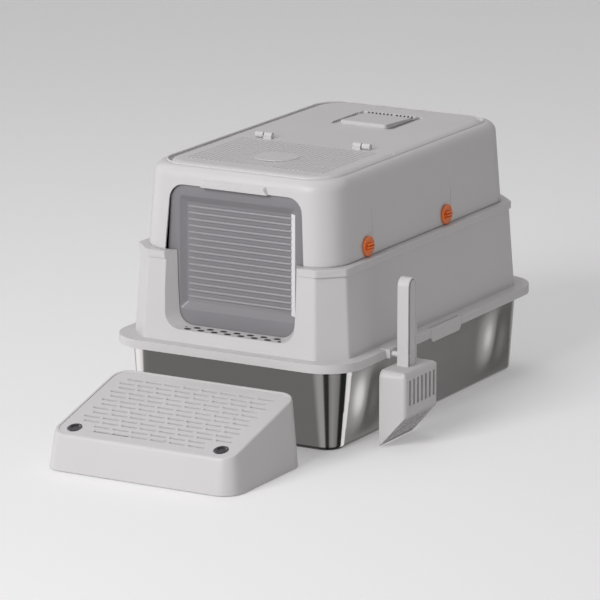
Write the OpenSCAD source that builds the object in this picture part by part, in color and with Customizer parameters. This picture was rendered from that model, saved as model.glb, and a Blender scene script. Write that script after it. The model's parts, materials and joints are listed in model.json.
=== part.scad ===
// Covered litter box: a steel pan, a plastic surround, a hood with a flip lid, a swing door,
// a roof filter, four turn knobs, a scoop on a clip-on hook and a free-standing slotted step.
// Millimetres. The origin is the middle of the pan's underside, on the floor.
// The entry faces -Y, +X is to its right as you face it, and +Z is up.

/* [Overall] */
// Width of the surround's flange
flange_w = 430; // [400:1:470]
// Length of the surround's flange
flange_l = 678; // [630:1:740]
// Corner radius of the flange
flange_r = 66; // [56:1:72]
// Thickness of the plastic walls
wall = 3; // [2.4:0.1:3.4]

/* [Steel pan] */
// Height of the pan to the top of its rim
pan_h = 142; // [110:1:180]
// Distance of the pan's foot in from the flange edge
pan_foot_inset = 32; // [29:1:40]
// Distance of the pan's wall in from the flange edge at the top
pan_top_inset = 20.5; // [19.5:0.5:21.5]
// Corner radius of the pan at its foot
pan_foot_r = 31; // [24:1:40]
// Corner radius of the pan at its top
pan_top_r = 50; // [46:1:54]
// Thickness of the sheet steel
steel = 1; // [0.8:0.1:1.4]
// Width of the rolled rim
rim_w = 12; // [10:0.5:12.5]
// Radius of the bend between floor and wall
pan_bend = 7; // [4:1:12]

/* [Surround] */
// Height of the skirt that hides the pan's rim
skirt_h = 14; // [12:1:20]
// Height of the surround above its flange
surround_h = 141.5; // [125:0.5:165]
// Distance of the surround's wall in from the flange edge at the foot
surround_inset = 21; // [19:0.5:23]
// How far the wall leans in from foot to lip
surround_lean = 8.5; // [6:0.5:10]
// Leg of the flat that cuts each corner, at the foot
corner_flat = 40; // [34:1:44]
// Leg of the same flat at the lip
corner_flat_top = 36.5; // [32:0.5:42]
// Height of the lip band
lip_h = 12; // [9:0.5:15]
// How far the lip band stands out from the wall
lip_out = 2.5; // [1.5:0.5:3.5]
// Height of the upstand inside the hood
upstand_h = 25.5; // [22:0.5:32]

/* [Hood] */
// Height of the hood from its foot to the rim of its roof
hood_h = 133.5; // [125:0.5:150]
// Distance of the hood's foot in from the flange edge
hood_inset = 38.3; // [36.5:0.1:40]
// How far the hood's wall leans in
hood_lean = 6.4; // [4:0.1:9]
// Corner radius of the hood
hood_r = 55; // [50:1:60]
// Height of the rounding from wall to roof
shoulder_h = 20; // [14:1:26]
// Depth of the same rounding
shoulder_d = 15; // [12:1:18]
// How far the flat of the roof stands above its rim
roof_rise = 2; // [0:0.5:4]

/* [Entry] */
// Half width of the entry at the seam
entry_half = 124; // [112:1:128]
// Height of the sill above the flange
sill_h = 20; // [14:1:34]
// Corner radius at the foot of the entry
entry_foot_r = 28; // [20:1:34]
// Corner radius at the head of the entry
entry_head_r = 25; // [18:1:32]
// Height of the entry's head above the seam
entry_head = 105.5; // [98:0.5:106]
// Depth of the entry's lining, from the front face
lining_d = 27; // [22:0.5:29]
// How far the lining narrows on each side from front to back
lining_draft = 17; // [10:0.5:18]
// Thickness of the swing door
door_t = 2.6; // [2:0.1:3]
// How far the swing door stays inside the entry's outline
door_gap = 2.5; // [2:0.5:4]
// Depth of the louvred field in the swing door
door_pan = 7; // [5:0.5:8]
// Width of the slanted edge round the field
door_slant = 10.5; // [6:0.5:11]
// Number of ribs on the swing door
door_ribs = 15; // [9:1:18]

/* [Flip lid] */
// Distance of the lid's rear edge in front of the middle
lid_seam = 50; // [40:1:70]
// Clearance round the lid
lid_gap = 0.6; // [0.5:0.1:0.9]
// Distance of each hinge from the middle
hinge_x = 89; // [70:1:110]
// Diameter of the hinge knuckles
knuckle_d = 9.6; // [8.6:0.1:10]
// Diameter of the hinge pins
hinge_pin_d = 3; // [2.4:0.1:3.6]
// Pitch of the ribs on the lid
rib_pitch = 8; // [6:0.5:12]
// Diameter of the finger pad
pad_d = 72; // [60:1:84]

/* [Turn knobs] */
// Diameter of a knob
knob_d = 32; // [28:1:33]
// Thickness of a knob's disc
knob_h = 5.5; // [4.5:0.5:8]
// Height of the grip bar on the disc
grip_h = 3.6; // [3:0.1:8]
// Length of the grip bar
grip_l = 25; // [18:1:26]
// Width of the grip bar
grip_w = 8; // [6:0.5:10]
// Diameter of a knob's stem
stem_d = 10; // [8:0.5:11]
// Distance of the front knobs from the middle
knob_front = 191; // [170:1:205]
// Distance of the rear knobs from the middle
knob_rear = 68; // [50:1:120]

/* [Roof filter] */
// Width of the filter cover
cover_w = 85; // [70:1:95]
// Length of the filter cover
cover_l = 88; // [76:1:96]
// How far the cover's front edge stands above the roof
cover_rise = 5.5; // [3.5:0.5:6]
// Distance of the filter from the rear of the flange
filter_in = 183; // [165:1:200]
// Width of the slotted band round the cover
band_w = 13; // [10:0.5:15]
// Depth of the filter basket
basket_h = 18; // [14:1:26]

/* [Scoop and hook] */
// Distance of the scoop in front of the middle
scoop_y = 190; // [180:1:200]
// Width of the scoop's blade
blade_w = 108; // [90:1:116]
// Depth of the blade from lip to floor
blade_d = 46; // [40:1:52]
// Length of the handle above the blade
handle_l = 140; // [120:1:160]
// Width of the handle
handle_w = 28; // [24:1:32]
// Depth of the handle
handle_d = 19; // [15:1:22]
// Height of the blade's lip above the floor
tip_z = 2; // [2:0.5:10]
// Diameter of the hook's peg
peg_d = 9; // [6:0.5:10]

/* [Step] */
// Width of the step
step_w = 338; // [300:1:380]
// Length of the step
step_l = 222; // [200:1:250]
// Height of its front edge
step_front = 57; // [46:1:70]
// Height of its rear edge
step_rear = 113; // [95:1:130]
// Corner radius of the step
step_r = 33; // [28:1:38]
// Gap between the step and the flange
step_gap = 44; // [20:1:90]
// Distance of the step to the right of the middle
step_x = 6.5; // [-20:0.5:20]
// Pitch of the slots across the step
slot_pitch = 33.4; // [32:0.1:36]
// Pitch of the rows of slots
row_pitch = 12.75; // [12:0.05:14]

/* [Hidden] */
white = "#d8d5d6";
arc_n = 8;              // segments in a quarter round of a lofted corner
flat_gap = 0.3;         // rest gap between pieces that lift or turn
run_fit = 0.1;          // radial clearance of a turning pin in its bore
hx = flange_w / 2;
hy = flange_l / 2;

// Levels
flange_z = pan_h + wall;
lip_z = flange_z + surround_h;
skirt_z = flange_z - skirt_h;
crest_z = lip_z + hood_h;
roof_z = crest_z + roof_rise;
sill_z = flange_z + sill_h;
head_z = lip_z + entry_head;
ledge_z = crest_z - 8;                   // seat of the flip lid
shoulder_z = crest_z - shoulder_h;

// Insets from the flange edge
lip_inset = surround_inset + surround_lean - lip_out;
hood_top_inset = hood_inset + hood_lean;
crest_inset = hood_top_inset + shoulder_d;
hood_in = hood_inset + wall;             // inner face of the hood at its foot
upstand_inset = hood_in + 1;
tray_inset = crest_inset + 6;            // foot of the groove round the roof panel
panel_inset = tray_inset + lid_gap;
flat_inset = panel_inset + 13;           // where the roof panel turns flat
crest_r = hood_r - 3;
hood_tilt = atan(hood_lean / (shoulder_z - lip_z));
foot_groove = 1.6;                       // shadow line between the lip and the hood's foot

// A rectangle with round corners, and one with flats cut across its corners
function round_rect(x, y, r) = [for (q = [0:3]) for (k = [0:arc_n])
    let (a = 90 * (q + k / arc_n), sx = (q == 0 || q == 3) ? 1 : -1, sy = q < 2 ? 1 : -1)
    [sx * (x - r) + r * cos(a), sy * (y - r) + r * sin(a)]];
function corner_pts(x, y, c, r) = let (t = r * tan(22.5)) concat(
    [for (k = [0:3]) [x - r + r * cos(15 * k), y - c - t + r * sin(15 * k)]],
    [for (k = [3:6]) [x - c - t + r * cos(15 * k), y - r + r * sin(15 * k)]]);
function flip(pts, sx, sy) = let (m = [for (p = pts) [sx * p[0], sy * p[1]]])
    sx * sy > 0 ? m : [for (i = [len(m) - 1:-1:0]) m[i]];
function cut_rect(x, y, c, r) = let (q = corner_pts(x, y, c, r))
    concat(q, flip(q, -1, 1), flip(q, -1, -1), flip(q, 1, -1));
function at_z(pts, z) = [for (p = pts) [p[0], p[1], z]];
function ring(inset, r, z) = at_z(round_rect(hx - inset, hy - inset, r), z);
function flat_ring(inset, c, z) = at_z(cut_rect(hx - inset, hy - inset, c, 10), z);

// A closed solid through a stack of rings that all have the same number of points
module loft(rings) {
    m = len(rings[0]);
    pts = [for (r = rings) for (p = r) p];
    top = (len(rings) - 1) * m;
    sides = [for (j = [0:len(rings) - 2]) for (i = [0:m - 1])
        let (a = j * m + i, b = j * m + (i + 1) % m)
        each [[a, a + m, b + m], [a, b + m, b]]];
    polyhedron(points = pts, convexity = 8, faces = concat(sides,
        [[for (i = [0:m - 1]) i]], [[for (i = [m - 1:-1:0]) top + i]]));
}
// A flat rounded rectangle with true arcs
module rounded(w, l, r) {
    square([w - 2 * r, l], center = true);
    square([w, l - 2 * r], center = true);
    for (sx = [-1, 1]) for (sy = [-1, 1])
        translate([sx * (w / 2 - r), sy * (l / 2 - r)]) circle(r = r, $fn = 64);
}
module slab(w, l, r, z0, z1) {
    translate([0, 0, z0]) linear_extrude(z1 - z0) rounded(w, l, r);
}
// A box between two corners
module block(a, b) {
    translate(a) cube(b - a);
}
// A cylinder along X from x0 to x1
module rod_x(x0, x1, d, y, z) {
    translate([x0, y, z]) rotate([0, 90, 0]) cylinder(h = x1 - x0, d = d, $fn = 48);
}
module rod_y(y0, y1, d, x, z) {
    translate([x, y0, z]) rotate([-90, 0, 0]) cylinder(h = y1 - y0, d = d, $fn = 48);
}

// Steel pan: pressed from sheet, with a bend round its floor and a flat rim that is turned down
pan_rim_inset = pan_top_inset - rim_w;
function pan_inset(z) = pan_foot_inset + (pan_top_inset - pan_foot_inset) * z / pan_h;
function pan_r(z) = pan_foot_r + (pan_top_r - pan_foot_r) * z / pan_h;
function pan_rings(t) = concat(
    [for (k = [0:4]) let (a = 90 * k / 4, z = pan_bend - (pan_bend - t) * cos(a))
        ring(pan_inset(0) + pan_bend - (pan_bend - t) * sin(a),
            max(4, pan_foot_r - pan_bend + (pan_bend - t) * sin(a)), z)],
    [ring(pan_inset(pan_h) + t, pan_top_r - t, pan_h + (t > 0 ? 1 : 0))]);
module steel_pan() {
    turn_h = 4;
    color("#8d8a8a") difference() {
        union() {
            loft(pan_rings(0));
            slab(flange_w - 2 * pan_rim_inset, flange_l - 2 * pan_rim_inset,
                pan_top_r + rim_w, pan_h - turn_h, pan_h);
        }
        loft(pan_rings(steel));
        difference() {
            slab(flange_w - 2 * pan_rim_inset - 2 * steel, flange_l - 2 * pan_rim_inset - 2 * steel,
                pan_top_r + rim_w - steel, pan_h - turn_h - 1, pan_h - steel);
            loft(pan_rings(0));
        }
    }
}

// Entry: one outline is cut by the surround, the hood and the swing door
lining_front = -hy + surround_inset - 4;
lining_back = -hy + surround_inset + lining_d;
door_y = lining_back + 1.2;              // front face of the swing door
door_rod_d = 3;
door_barrel_d = door_rod_d + 3.4;
door_axis_y = door_y + door_barrel_d / 2;
door_axis_z = head_z + 3;
sill_rise = 3;
lining_t = 2.6;
function entry_half_at(z) = z > lip_z ? entry_half - 7 * (z - lip_z) / entry_head
    : entry_half - 6 * pow((lip_z - z) / (lip_z - sill_z), 2);
// Outline of the entry as points [x, z], set in by d on each side, from foot to head
function entry_side(d, foot) = let (rf = entry_foot_r - min(d, 4), wf = entry_half_at(foot + rf) - d)
    concat([for (k = [0:6]) [wf - rf + rf * sin(15 * k), foot + rf - rf * cos(15 * k)]],
        [[entry_half_at((foot + lip_z) / 2) - d, (foot + lip_z) / 2],
            [entry_half_at(lip_z) - d, lip_z]]);
function both_sides(right) = concat(right,
    [for (i = [len(right) - 1:-1:0]) [-right[i][0], right[i][1]]]);
function entry_pts(d, foot, head) = let (rh = entry_head_r - d,
    wh = entry_half_at(head - rh) - d) both_sides(concat(entry_side(d, foot),
        [for (k = [0:6]) [wh - rh + rh * cos(15 * k), head - rh + rh * sin(15 * k)]]));
// The same foot run straight up from the seam, for the surround's open top
function notch_pts(d, foot, top) = both_sides(concat(entry_side(d, foot),
    [[entry_half_at(lip_z) - d, top]]));
function at_y(pts, y) = [for (p = pts) [p[0], y, p[1]]];
module notch(d0, foot0, y0, d1, foot1, y1, top) {
    loft([at_y(notch_pts(d1, foot1, top), y1), at_y(notch_pts(d0, foot0, top), y0)]);
}
module doorway(d, y0, y1) {
    loft([at_y(entry_pts(d, sill_z, head_z), y1), at_y(entry_pts(d, sill_z, head_z), y0)]);
}

// Surround: flange and skirt, leaning wall with cut corners, lip, upstand and entry lining
upstand_r = hood_r - 4;
upstand_t = 2.6;
upstand_lean = 1.5;
latch_half = 52;
latch_drop = 8;
latch_pin_d = 2.2;
lug_w = 5;
latch_x = hx - 3.2;
latch_z = flange_z - 3.2;
latch_slot_x = hx - 8.2;
knob_z = lip_z + knob_d / 2 + 1;
stem_play = 0.8;
module surround_wall(t) {
    s = 0.586 * t;
    loft([flat_ring(surround_inset + t, corner_flat - s, t > 0 ? skirt_z - 5 : pan_h),
        flat_ring(surround_inset + t, corner_flat - s, flange_z),
        flat_ring(surround_inset + surround_lean + t, corner_flat_top - s, lip_z - lip_h),
        flat_ring(surround_inset + surround_lean + t, corner_flat_top - s,
            lip_z - (t > 0 ? wall : 1))]);
}
// Rib that drops inside the pan and centres the surround on it
module locating_rib(x) {
    difference() {
        loft([flat_ring(surround_inset + wall - x, corner_flat, pan_h - 10),
            flat_ring(surround_inset + wall - x, corner_flat, flange_z)]);
        loft([flat_ring(surround_inset + wall + 2.4, corner_flat - 1.4, pan_h - 11),
            flat_ring(surround_inset + wall + 2.4, corner_flat - 1.4, flange_z + 1)]);
    }
}
module lugs() {
    for (s = [-1, 1]) for (e = [-1, 1])
        block([s > 0 ? latch_x - 3 : -hx, e > 0 ? latch_half : -latch_half - lug_w, latch_z - 3],
            [s > 0 ? hx : -latch_x + 3, e > 0 ? latch_half + lug_w : -latch_half, flange_z]);
}
module surround_shell() {
    difference() {
        union() {
            slab(flange_w, flange_l, flange_r, skirt_z, flange_z);
            surround_wall(0);
            loft([flat_ring(lip_inset, corner_flat_top, lip_z - lip_h),
                flat_ring(lip_inset, corner_flat_top, lip_z - 1),
                flat_ring(lip_inset + 1, corner_flat_top - 0.6, lip_z)]);
            loft([ring(upstand_inset, upstand_r, lip_z - 1),
                ring(upstand_inset + upstand_lean, upstand_r - 1, lip_z + upstand_h)]);
        }
        difference() {
            slab(flange_w - 2 * wall, flange_l - 2 * wall, flange_r - wall, skirt_z - 1, pan_h);
            locating_rib(1);
            lugs();
        }
        difference() {
            surround_wall(wall);
            locating_rib(1);
        }
        loft([ring(upstand_inset + upstand_t, upstand_r - upstand_t, lip_z - wall - 1),
            ring(upstand_inset + upstand_t + upstand_lean, upstand_r - upstand_t - 1,
                lip_z + upstand_h + 1)]);
    }
}
module surround() {
    color(white) difference() {
        union() {
            surround_shell();
            // Lining of the entry
            intersection() {
                notch(-lining_t, sill_z - lining_t, lining_front, lining_draft - lining_t,
                    sill_z + sill_rise - lining_t, lining_back, lip_z);
                union() {
                    surround_wall(0);
                    loft([flat_ring(lip_inset, corner_flat_top, lip_z - lip_h),
                        flat_ring(lip_inset, corner_flat_top, lip_z)]);
                }
            }
        }
        notch(0, sill_z, lining_front - 0.01, lining_draft, sill_z + sill_rise,
            lining_back + 0.01, lip_z + 1);
        // The upstand stops beside the door's swing
        block([-entry_half - 3, -hy, lip_z], [entry_half + 3, -hy + 60, lip_z + upstand_h + 5]);
        // Two rows of slots through the sill
        for (row = [0, 1]) for (i = [-3.5:3.5])
            translate([24 * i + 12 * row - 6, lining_front + 12 + 9 * row, sill_z - 8])
                rotate([0, 0, 25]) block([-7, -1.4, 0], [7, 1.4, 16]);
        // Open-topped slots that let the knob stems lift out
        for (y = [-knob_front, knob_rear])
            block([-hx, y - stem_d / 2 - stem_play, knob_z - stem_d / 2 - stem_play],
                [hx, y + stem_d / 2 + stem_play, lip_z + upstand_h + 5]);
        for (s = [-1, 1]) {
            block([s > 0 ? latch_slot_x : -hx - 1, -latch_half - flat_gap, skirt_z - 1],
                [s > 0 ? hx + 1 : -latch_slot_x, latch_half + flat_gap, flange_z + 1]);
            latch_bore(s, latch_pin_d);
        }
    }
}

// Side latches: flush with the skirt, hinged in the flange, with a tooth beside the pan's rim
module latch_bore(s, d) {
    rod_y(-latch_half - lug_w, latch_half + lug_w, d, s * latch_x, latch_z);
}
pan_hook_x = hx - pan_rim_inset + 0.7;
module latch(s) {
    tooth = [[hx - wall / 2, skirt_z + 4], [hx - wall, skirt_z + 4], [pan_hook_x, skirt_z + 1],
        [pan_hook_x, skirt_z - 1], [hx - wall, skirt_z - 4], [hx - wall / 2, skirt_z - 4]];
    side = [[-latch_half, flange_z], [latch_half, flange_z], [latch_half, skirt_z],
        [latch_half - 8, skirt_z - latch_drop], [8 - latch_half, skirt_z - latch_drop],
        [-latch_half, skirt_z]];
    color(white) mirror([s > 0 ? 0 : 1, 0, 0]) difference() {
        union() {
            intersection() {
                union() {
                    block([hx - 6, -latch_half, flange_z - wall], [hx, latch_half, flange_z]);
                    block([hx - wall, -latch_half, skirt_z - latch_drop],
                        [hx, latch_half, flange_z]);
                }
                translate([hx + 5, 0, 0]) rotate([90, 0, -90]) linear_extrude(30) polygon(side);
            }
            // Tooth that stands beside the pan's rim
            translate([0, latch_half - 14, 0]) rotate([90, 0, 0])
                linear_extrude(2 * latch_half - 28) polygon(tooth);
            rod_y(-latch_half, latch_half, latch_pin_d + 2.8, latch_x, latch_z);
        }
        latch_bore(1, latch_pin_d + 2 * run_fit);
    }
}
module latch_pin(s) {
    color("#b9babd") latch_bore(s, latch_pin_d);
}

// Hood: leaning shell, rounded shoulder, groove round the raised roof panel, entry, visor
shoulder_rings = [for (k = [0:6]) let (a = 15 * k)
    ring(hood_top_inset + shoulder_d * (1 - cos(a)), hood_r - k / 2,
        shoulder_z + shoulder_h * sin(a))];
// Inside: under the shoulder, over into the crest and back down to the tray's floor
inside_rings = [ring(hood_in, hood_r - wall, lip_z - 1),
    ring(hood_top_inset + wall, hood_r - wall, shoulder_z - 2),
    ring(hood_top_inset + wall + 0.13 * shoulder_d, hood_r - wall - 1,
        shoulder_z + 0.28 * shoulder_h),
    ring(hood_top_inset + wall + 0.36 * shoulder_d, hood_r - wall - 2,
        shoulder_z + 0.58 * shoulder_h),
    ring(crest_inset - wall, hood_r - wall - 4, crest_z - wall - 1.5),
    ring(crest_inset + 1, hood_r - wall - 5, crest_z - wall - 2.5),
    ring(tray_inset - wall, hood_r - wall - 6, ledge_z - wall)];
panel_r = crest_r - 6;
function panel_ring(d, z) = ring(panel_inset + d, panel_r - d, z);
// The raised roof panel, down to z0: d grows it sideways
module panel(d, z0) {
    loft([panel_ring(-d, z0), panel_ring(-d, roof_z - 6.5), panel_ring(1 - d, roof_z - 4.4),
        panel_ring(3.2 - d, roof_z - 2.4), panel_ring(7 - d, roof_z - 0.8),
        panel_ring(12.4 - d, roof_z)]);
}
// What the panel leaves hollow below it
module panel_hollow(z0) {
    loft([panel_ring(wall, z0), panel_ring(wall, roof_z - 7.5), panel_ring(wall + 3, roof_z - 4.8),
        panel_ring(wall + 9, roof_z - wall)]);
}
module half_space(y0, y1) {
    block([-hx, y0, 0], [hx, y1, roof_z + 60]);
}
hinge_y = -lid_seam;
hinge_z = roof_z + knuckle_d / 2 + 0.4;
knuckle_w = 14;
knuckle_gap = 2;
hole_inset = panel_inset + 9;            // edge of the roof opening under the lid
hole_back = -lid_seam - 10;
module knuckle(x0, x1, y1) {
    rod_x(x0, x1, knuckle_d, hinge_y, hinge_z);
    block([x0, min(y1, hinge_y), roof_z - 1], [x1, max(y1, hinge_y), hinge_z]);
}
filter_y = hy - filter_in;
// Vent: a sunk band on three sides of the filter cover, over a lowered piece of roof
band_x = cover_w / 2 + 0.7;
band_front = filter_y - cover_l / 2 - 7;
band_back = filter_y + cover_l / 2 + 0.7;
vent_x = band_x + band_w;
vent_back = band_back + band_w + 4;
band_z = roof_z - 4;                     // floor of the rear band
side_z = roof_z - 1.2;                   // floor of the side bands
well_w = cover_w - 11;
well_l = cover_l - 12;
vent_pitch = 7;
vent_slot = 2.6;
pocket_w = 4;
module vent_cut() {
    difference() {
        union() {
            block([-vent_x, band_front, side_z], [vent_x, band_back, roof_z + 1]);
            block([-vent_x, band_back, band_z], [vent_x, vent_back, roof_z + 1]);
        }
        block([-band_x, band_front - 1, band_z - 1], [band_x, band_back, roof_z + 2]);
    }
    block([-well_w / 2, filter_y - well_l / 2, band_z - 6],
        [well_w / 2, filter_y + well_l / 2, roof_z + 1]);
    for (s = [-1, 1]) for (y = [band_front + 8:vent_pitch * 0.7:band_back - 3])
        translate([s * (band_x + band_w / 2), y, band_z - 6])
            block([2 - band_w / 2, -vent_slot / 2, 0], [band_w / 2 - 2, vent_slot / 2, 8]);
    for (i = [0:11]) let (x = vent_pitch * (i - 5.5) + (i < 7 ? -1.5 : 1.5))
        block([x - pocket_w / 2, vent_back - 0.1, band_z],
            [x + pocket_w / 2, vent_back + 2.6, band_z + 2.2]);
}
module hood_shell() {
    difference() {
        union() {
            difference() {
                loft(concat([ring(hood_inset + foot_groove, hood_r - foot_groove, lip_z),
                    ring(hood_inset + foot_groove, hood_r - foot_groove, lip_z + foot_groove),
                    ring(hood_inset, hood_r, lip_z + foot_groove + 0.4)], shoulder_rings));
                // The tray that the roof panel stands in
                loft([ring(tray_inset, panel_r, ledge_z), ring(tray_inset - 1.2, panel_r + 1,
                    ledge_z + 3), ring(crest_inset + 2, crest_r - 2, crest_z - 0.8),
                    ring(crest_inset + 0.6, crest_r - 0.6, crest_z + 0.1)]);
            }
            intersection() {
                panel(1.2, ledge_z - 1);
                half_space(-lid_seam, hy);
            }
        }
        loft(inside_rings);
        intersection() {
            panel_hollow(ledge_z - wall - 1);
            half_space(-lid_seam + wall, hy);
        }
        // Roof opening under the lid
        intersection() {
            loft([ring(hole_inset, panel_r - 9, ledge_z - wall - 1),
                ring(hole_inset, panel_r - 9, ledge_z + 1)]);
            half_space(-hy, hole_back);
        }
    }
}
visor_half = 60;
visor_out = 7;
visor_h = 14;
// A bulge over the middle of the entry; t makes the hollow behind it
module visor(t) {
    y1 = -hy + hood_top_inset + 8;
    y0 = -hy + hood_top_inset - visor_out + t;
    w = visor_half - t;
    z0 = head_z - 1 - t;
    z1 = head_z + visor_h - t;
    loft([[[w + 2, y1, z0], [w - 5, y1, z1 + 2], [5 - w, y1, z1 + 2], [-w - 2, y1, z0]],
        [[w, y0, z0], [w - 7, y0, z1 - 5], [7 - w, y0, z1 - 5], [-w, y0, z0]]]);
}
door_lug_x = visor_half - 4.5;           // inner face of the lugs that hold the door's rod
door_lug_w = 6;
door_rod_half = door_lug_x + door_lug_w - 1;
hood_front = -hy + hood_inset;
module hood() {
    color(white) difference() {
        union() {
            difference() {
                union() {
                    hood_shell();
                    visor(0);
                }
                intersection() {
                    visor(wall - 0.4);
                    half_space(-hy, door_axis_y + door_barrel_d);
                }
            }
            // Lugs behind the front wall that hold the door's rod
            for (s = [-1, 1])
                block([s > 0 ? door_lug_x : -door_lug_x - door_lug_w, hood_front + 7,
                    door_axis_z - 3.5], [s > 0 ? door_lug_x + door_lug_w : -door_lug_x,
                    door_axis_y + 3.5, door_axis_z + 6]);
            for (s = [-1, 1])
                knuckle(s > 0 ? hinge_x + knuckle_gap / 2 : -hinge_x - knuckle_gap / 2 - knuckle_w,
                    s > 0 ? hinge_x + knuckle_gap / 2 + knuckle_w : -hinge_x - knuckle_gap / 2,
                    hinge_y + knuckle_d / 2 + 1);
            // Lowered roof round the filter's well
            block([-vent_x - wall, band_front - wall, band_z - wall],
                [vent_x + wall, vent_back + wall + 1, roof_z - wall / 2]);
        }
        doorway(0, hood_front - 1, door_y - 0.4);
        vent_cut();
        for (s = [-1, 1]) {
            for (y = [-knob_front, knob_rear]) on_side(s, y)
                translate([0, 0, -20]) cylinder(h = 40, d = stem_d + 2 * run_fit, $fn = 48);
            rod_x(s * hinge_x - 20, s * hinge_x + 20, hinge_pin_d, hinge_y, hinge_z);
        }
        rod_x(-door_rod_half, door_rod_half, door_rod_d, door_axis_y, door_axis_z);
    }
}

// Turn knobs: a cap with a grip bar outside, a stem through the hood, a cam inside
function hood_inset_at(z) = hood_inset + hood_lean * (z - lip_z) / (shoulder_z - lip_z);
cam_reach = 20;
cam_tip_r = 6;
cam_t = 3;
cam_w = upstand_inset + upstand_t + upstand_lean + 0.4
    - hood_inset_at(knob_z - cam_reach - cam_tip_r);
stem_end_d = stem_d - 3;
// Puts a knob's own axis, which looks out along +Z, on the hood's side at y
module on_side(s, y) {
    mirror([s > 0 ? 0 : 1, 0, 0]) translate([hx - hood_inset_at(knob_z), y, knob_z])
        rotate([0, 90 - hood_tilt, 0]) children();
}
module knob(s, y) {
    r = knob_d / 2;
    color("#d2601e") on_side(s, y) {
        rotate_extrude($fn = 64) polygon([[0, flat_gap], [r - 0.8, flat_gap],
            [r, flat_gap + 0.8], [r, knob_h - 1.4], [r - 0.5, knob_h - 0.4],
            [r - 1.4, knob_h], [0, knob_h]]);
        // Grip bar
        translate([-grip_w / 2, -grip_l / 2, knob_h - 1]) rotate([90, 0, 90])
            linear_extrude(grip_w) polygon([[0, 0], [grip_l, 0], [grip_l - 1, grip_h - 1],
            [grip_l - 3, grip_h + 1], [3, grip_h + 1], [1, grip_h - 1]]);
        translate([0, 0, -cam_w]) cylinder(h = cam_w + 1, d = stem_d, $fn = 48);
        translate([0, 0, -cam_w - cam_t]) cylinder(h = cam_t + 1, d = stem_end_d, $fn = 48);
    }
}
module cam(s, y) {
    color("#bdbabb") on_side(s, y) translate([0, 0, -cam_w - cam_t]) linear_extrude(cam_t)
        difference() {
            union() {
                circle(d = stem_d + 5, $fn = 48);
                translate([0, -cam_tip_r]) square([cam_reach, 2 * cam_tip_r]);
                translate([cam_reach, 0]) circle(r = cam_tip_r, $fn = 48);
            }
            circle(d = stem_end_d, $fn = 48);
        }
}

// Swing door: a plate behind the entry with a sunk field of ribs, hung on a barrel at its top
field_half = 103.5;
field_foot = sill_z + 28;
field_head = head_z - 18.5;
door_foot = sill_z;
barrel_half = door_lug_x - 1.5;
// The sunk field: d insets it, y0 and y1 are its mouth and its floor
module field(d, y0, y1) {
    a = field_half - d;
    b = field_half - d - door_slant;
    loft([[[b, y1, field_foot + d + door_slant], [b, y1, field_head - d - door_slant],
            [-b, y1, field_head - d - door_slant], [-b, y1, field_foot + d + door_slant]],
        [[a, y0, field_foot + d], [a, y0, field_head - d], [-a, y0, field_head - d],
            [-a, y0, field_foot + d]]]);
}
module door_flap() {
    floor_y = door_y + door_pan;
    lo = field_foot + door_slant + 2;
    pitch = (field_head - door_slant - 1 - lo) / door_ribs;
    color("#8f8d90") difference() {
        union() {
            difference() {
                union() {
                    translate([0, door_y + door_t, 0]) rotate([90, 0, 0]) linear_extrude(door_t)
                        polygon(entry_pts(door_gap, door_foot, head_z - door_gap - 1));
                    field(-door_t, door_y + door_t - 0.1, floor_y + door_t);
                }
                field(0, door_y - 0.1, floor_y);
            }
            // Ribs across the field
            for (i = [0:door_ribs - 1]) translate([0.5 - field_half + door_slant, floor_y,
                lo + pitch * (i + 0.5)]) rotate([90, 0, 90])
                    linear_extrude(2 * (field_half - door_slant) - 1)
                        polygon([[0.5, -2.6], [-2.3, -1.7], [-3, -0.5], [-3, 0.5], [-2.3, 1.7],
                            [0.5, 2.6]]);
            rod_x(-barrel_half, barrel_half, door_barrel_d, door_axis_y, door_axis_z);
            block([-barrel_half, door_y, head_z - door_gap - 3],
                [barrel_half, door_y + door_t, door_axis_z]);
        }
        rod_x(-door_rod_half, door_rod_half, door_rod_d + 2 * run_fit, door_axis_y, door_axis_z);
    }
}
module door_rod() {
    color("#b9babd") rod_x(-door_rod_half, door_rod_half, door_rod_d, door_axis_y, door_axis_z);
}

// Flip lid: the front half of the roof panel, ribbed, with a round finger pad that rises forward
pad_in = 117;                            // from the seam to the middle of the pad
pad_y = -lid_seam - pad_in;
pad_rise = 2.4;                          // how far its front edge stands above the lid
rib_half = 125;
rib_front = -hy + flat_inset + 20;
rib_back = -lid_seam - 15;
module finger_pad() {
    translate([0, pad_y + pad_d / 2, roof_z]) rotate([-asin((pad_rise - 0.4) / pad_d), 0, 0])
        translate([0, -pad_d / 2, -1.2]) cylinder(h = 1.6, d = pad_d, $fn = 64);
}
module roof_lid() {
    color(white) difference() {
        union() {
            difference() {
                intersection() {
                    panel(0, ledge_z + flat_gap);
                    half_space(-hy, -lid_seam - lid_gap);
                }
                intersection() {
                    panel_hollow(ledge_z);
                    half_space(-hy, -lid_seam - lid_gap - wall);
                }
            }
            finger_pad();
            // Raised ribs
            for (x = [0:rib_pitch:rib_half]) for (s = x > 0 ? [-1, 1] : [1])
                translate([s * x, rib_back, roof_z - 0.5]) rotate([90, 0, 0])
                    linear_extrude(rib_back - rib_front)
                        polygon([[-1.6, 0], [1.6, 0], [0.9, 1.3], [-0.9, 1.3]]);
            for (s = [-1, 1])
                knuckle(s > 0 ? hinge_x - knuckle_gap / 2 - knuckle_w : -hinge_x + knuckle_gap / 2,
                    s > 0 ? hinge_x - knuckle_gap / 2 : -hinge_x + knuckle_gap / 2 + knuckle_w,
                    hinge_y - knuckle_d / 2 - 1);
        }
        // The arm stays clear of the rear roof
        block([-hx, -lid_seam - lid_gap, roof_z - 2], [hx, hinge_y, roof_z + 0.4]);
        for (s = [-1, 1])
            rod_x(s * hinge_x - 20, s * hinge_x + 20, hinge_pin_d + 2 * run_fit, hinge_y, hinge_z);
    }
}
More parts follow.
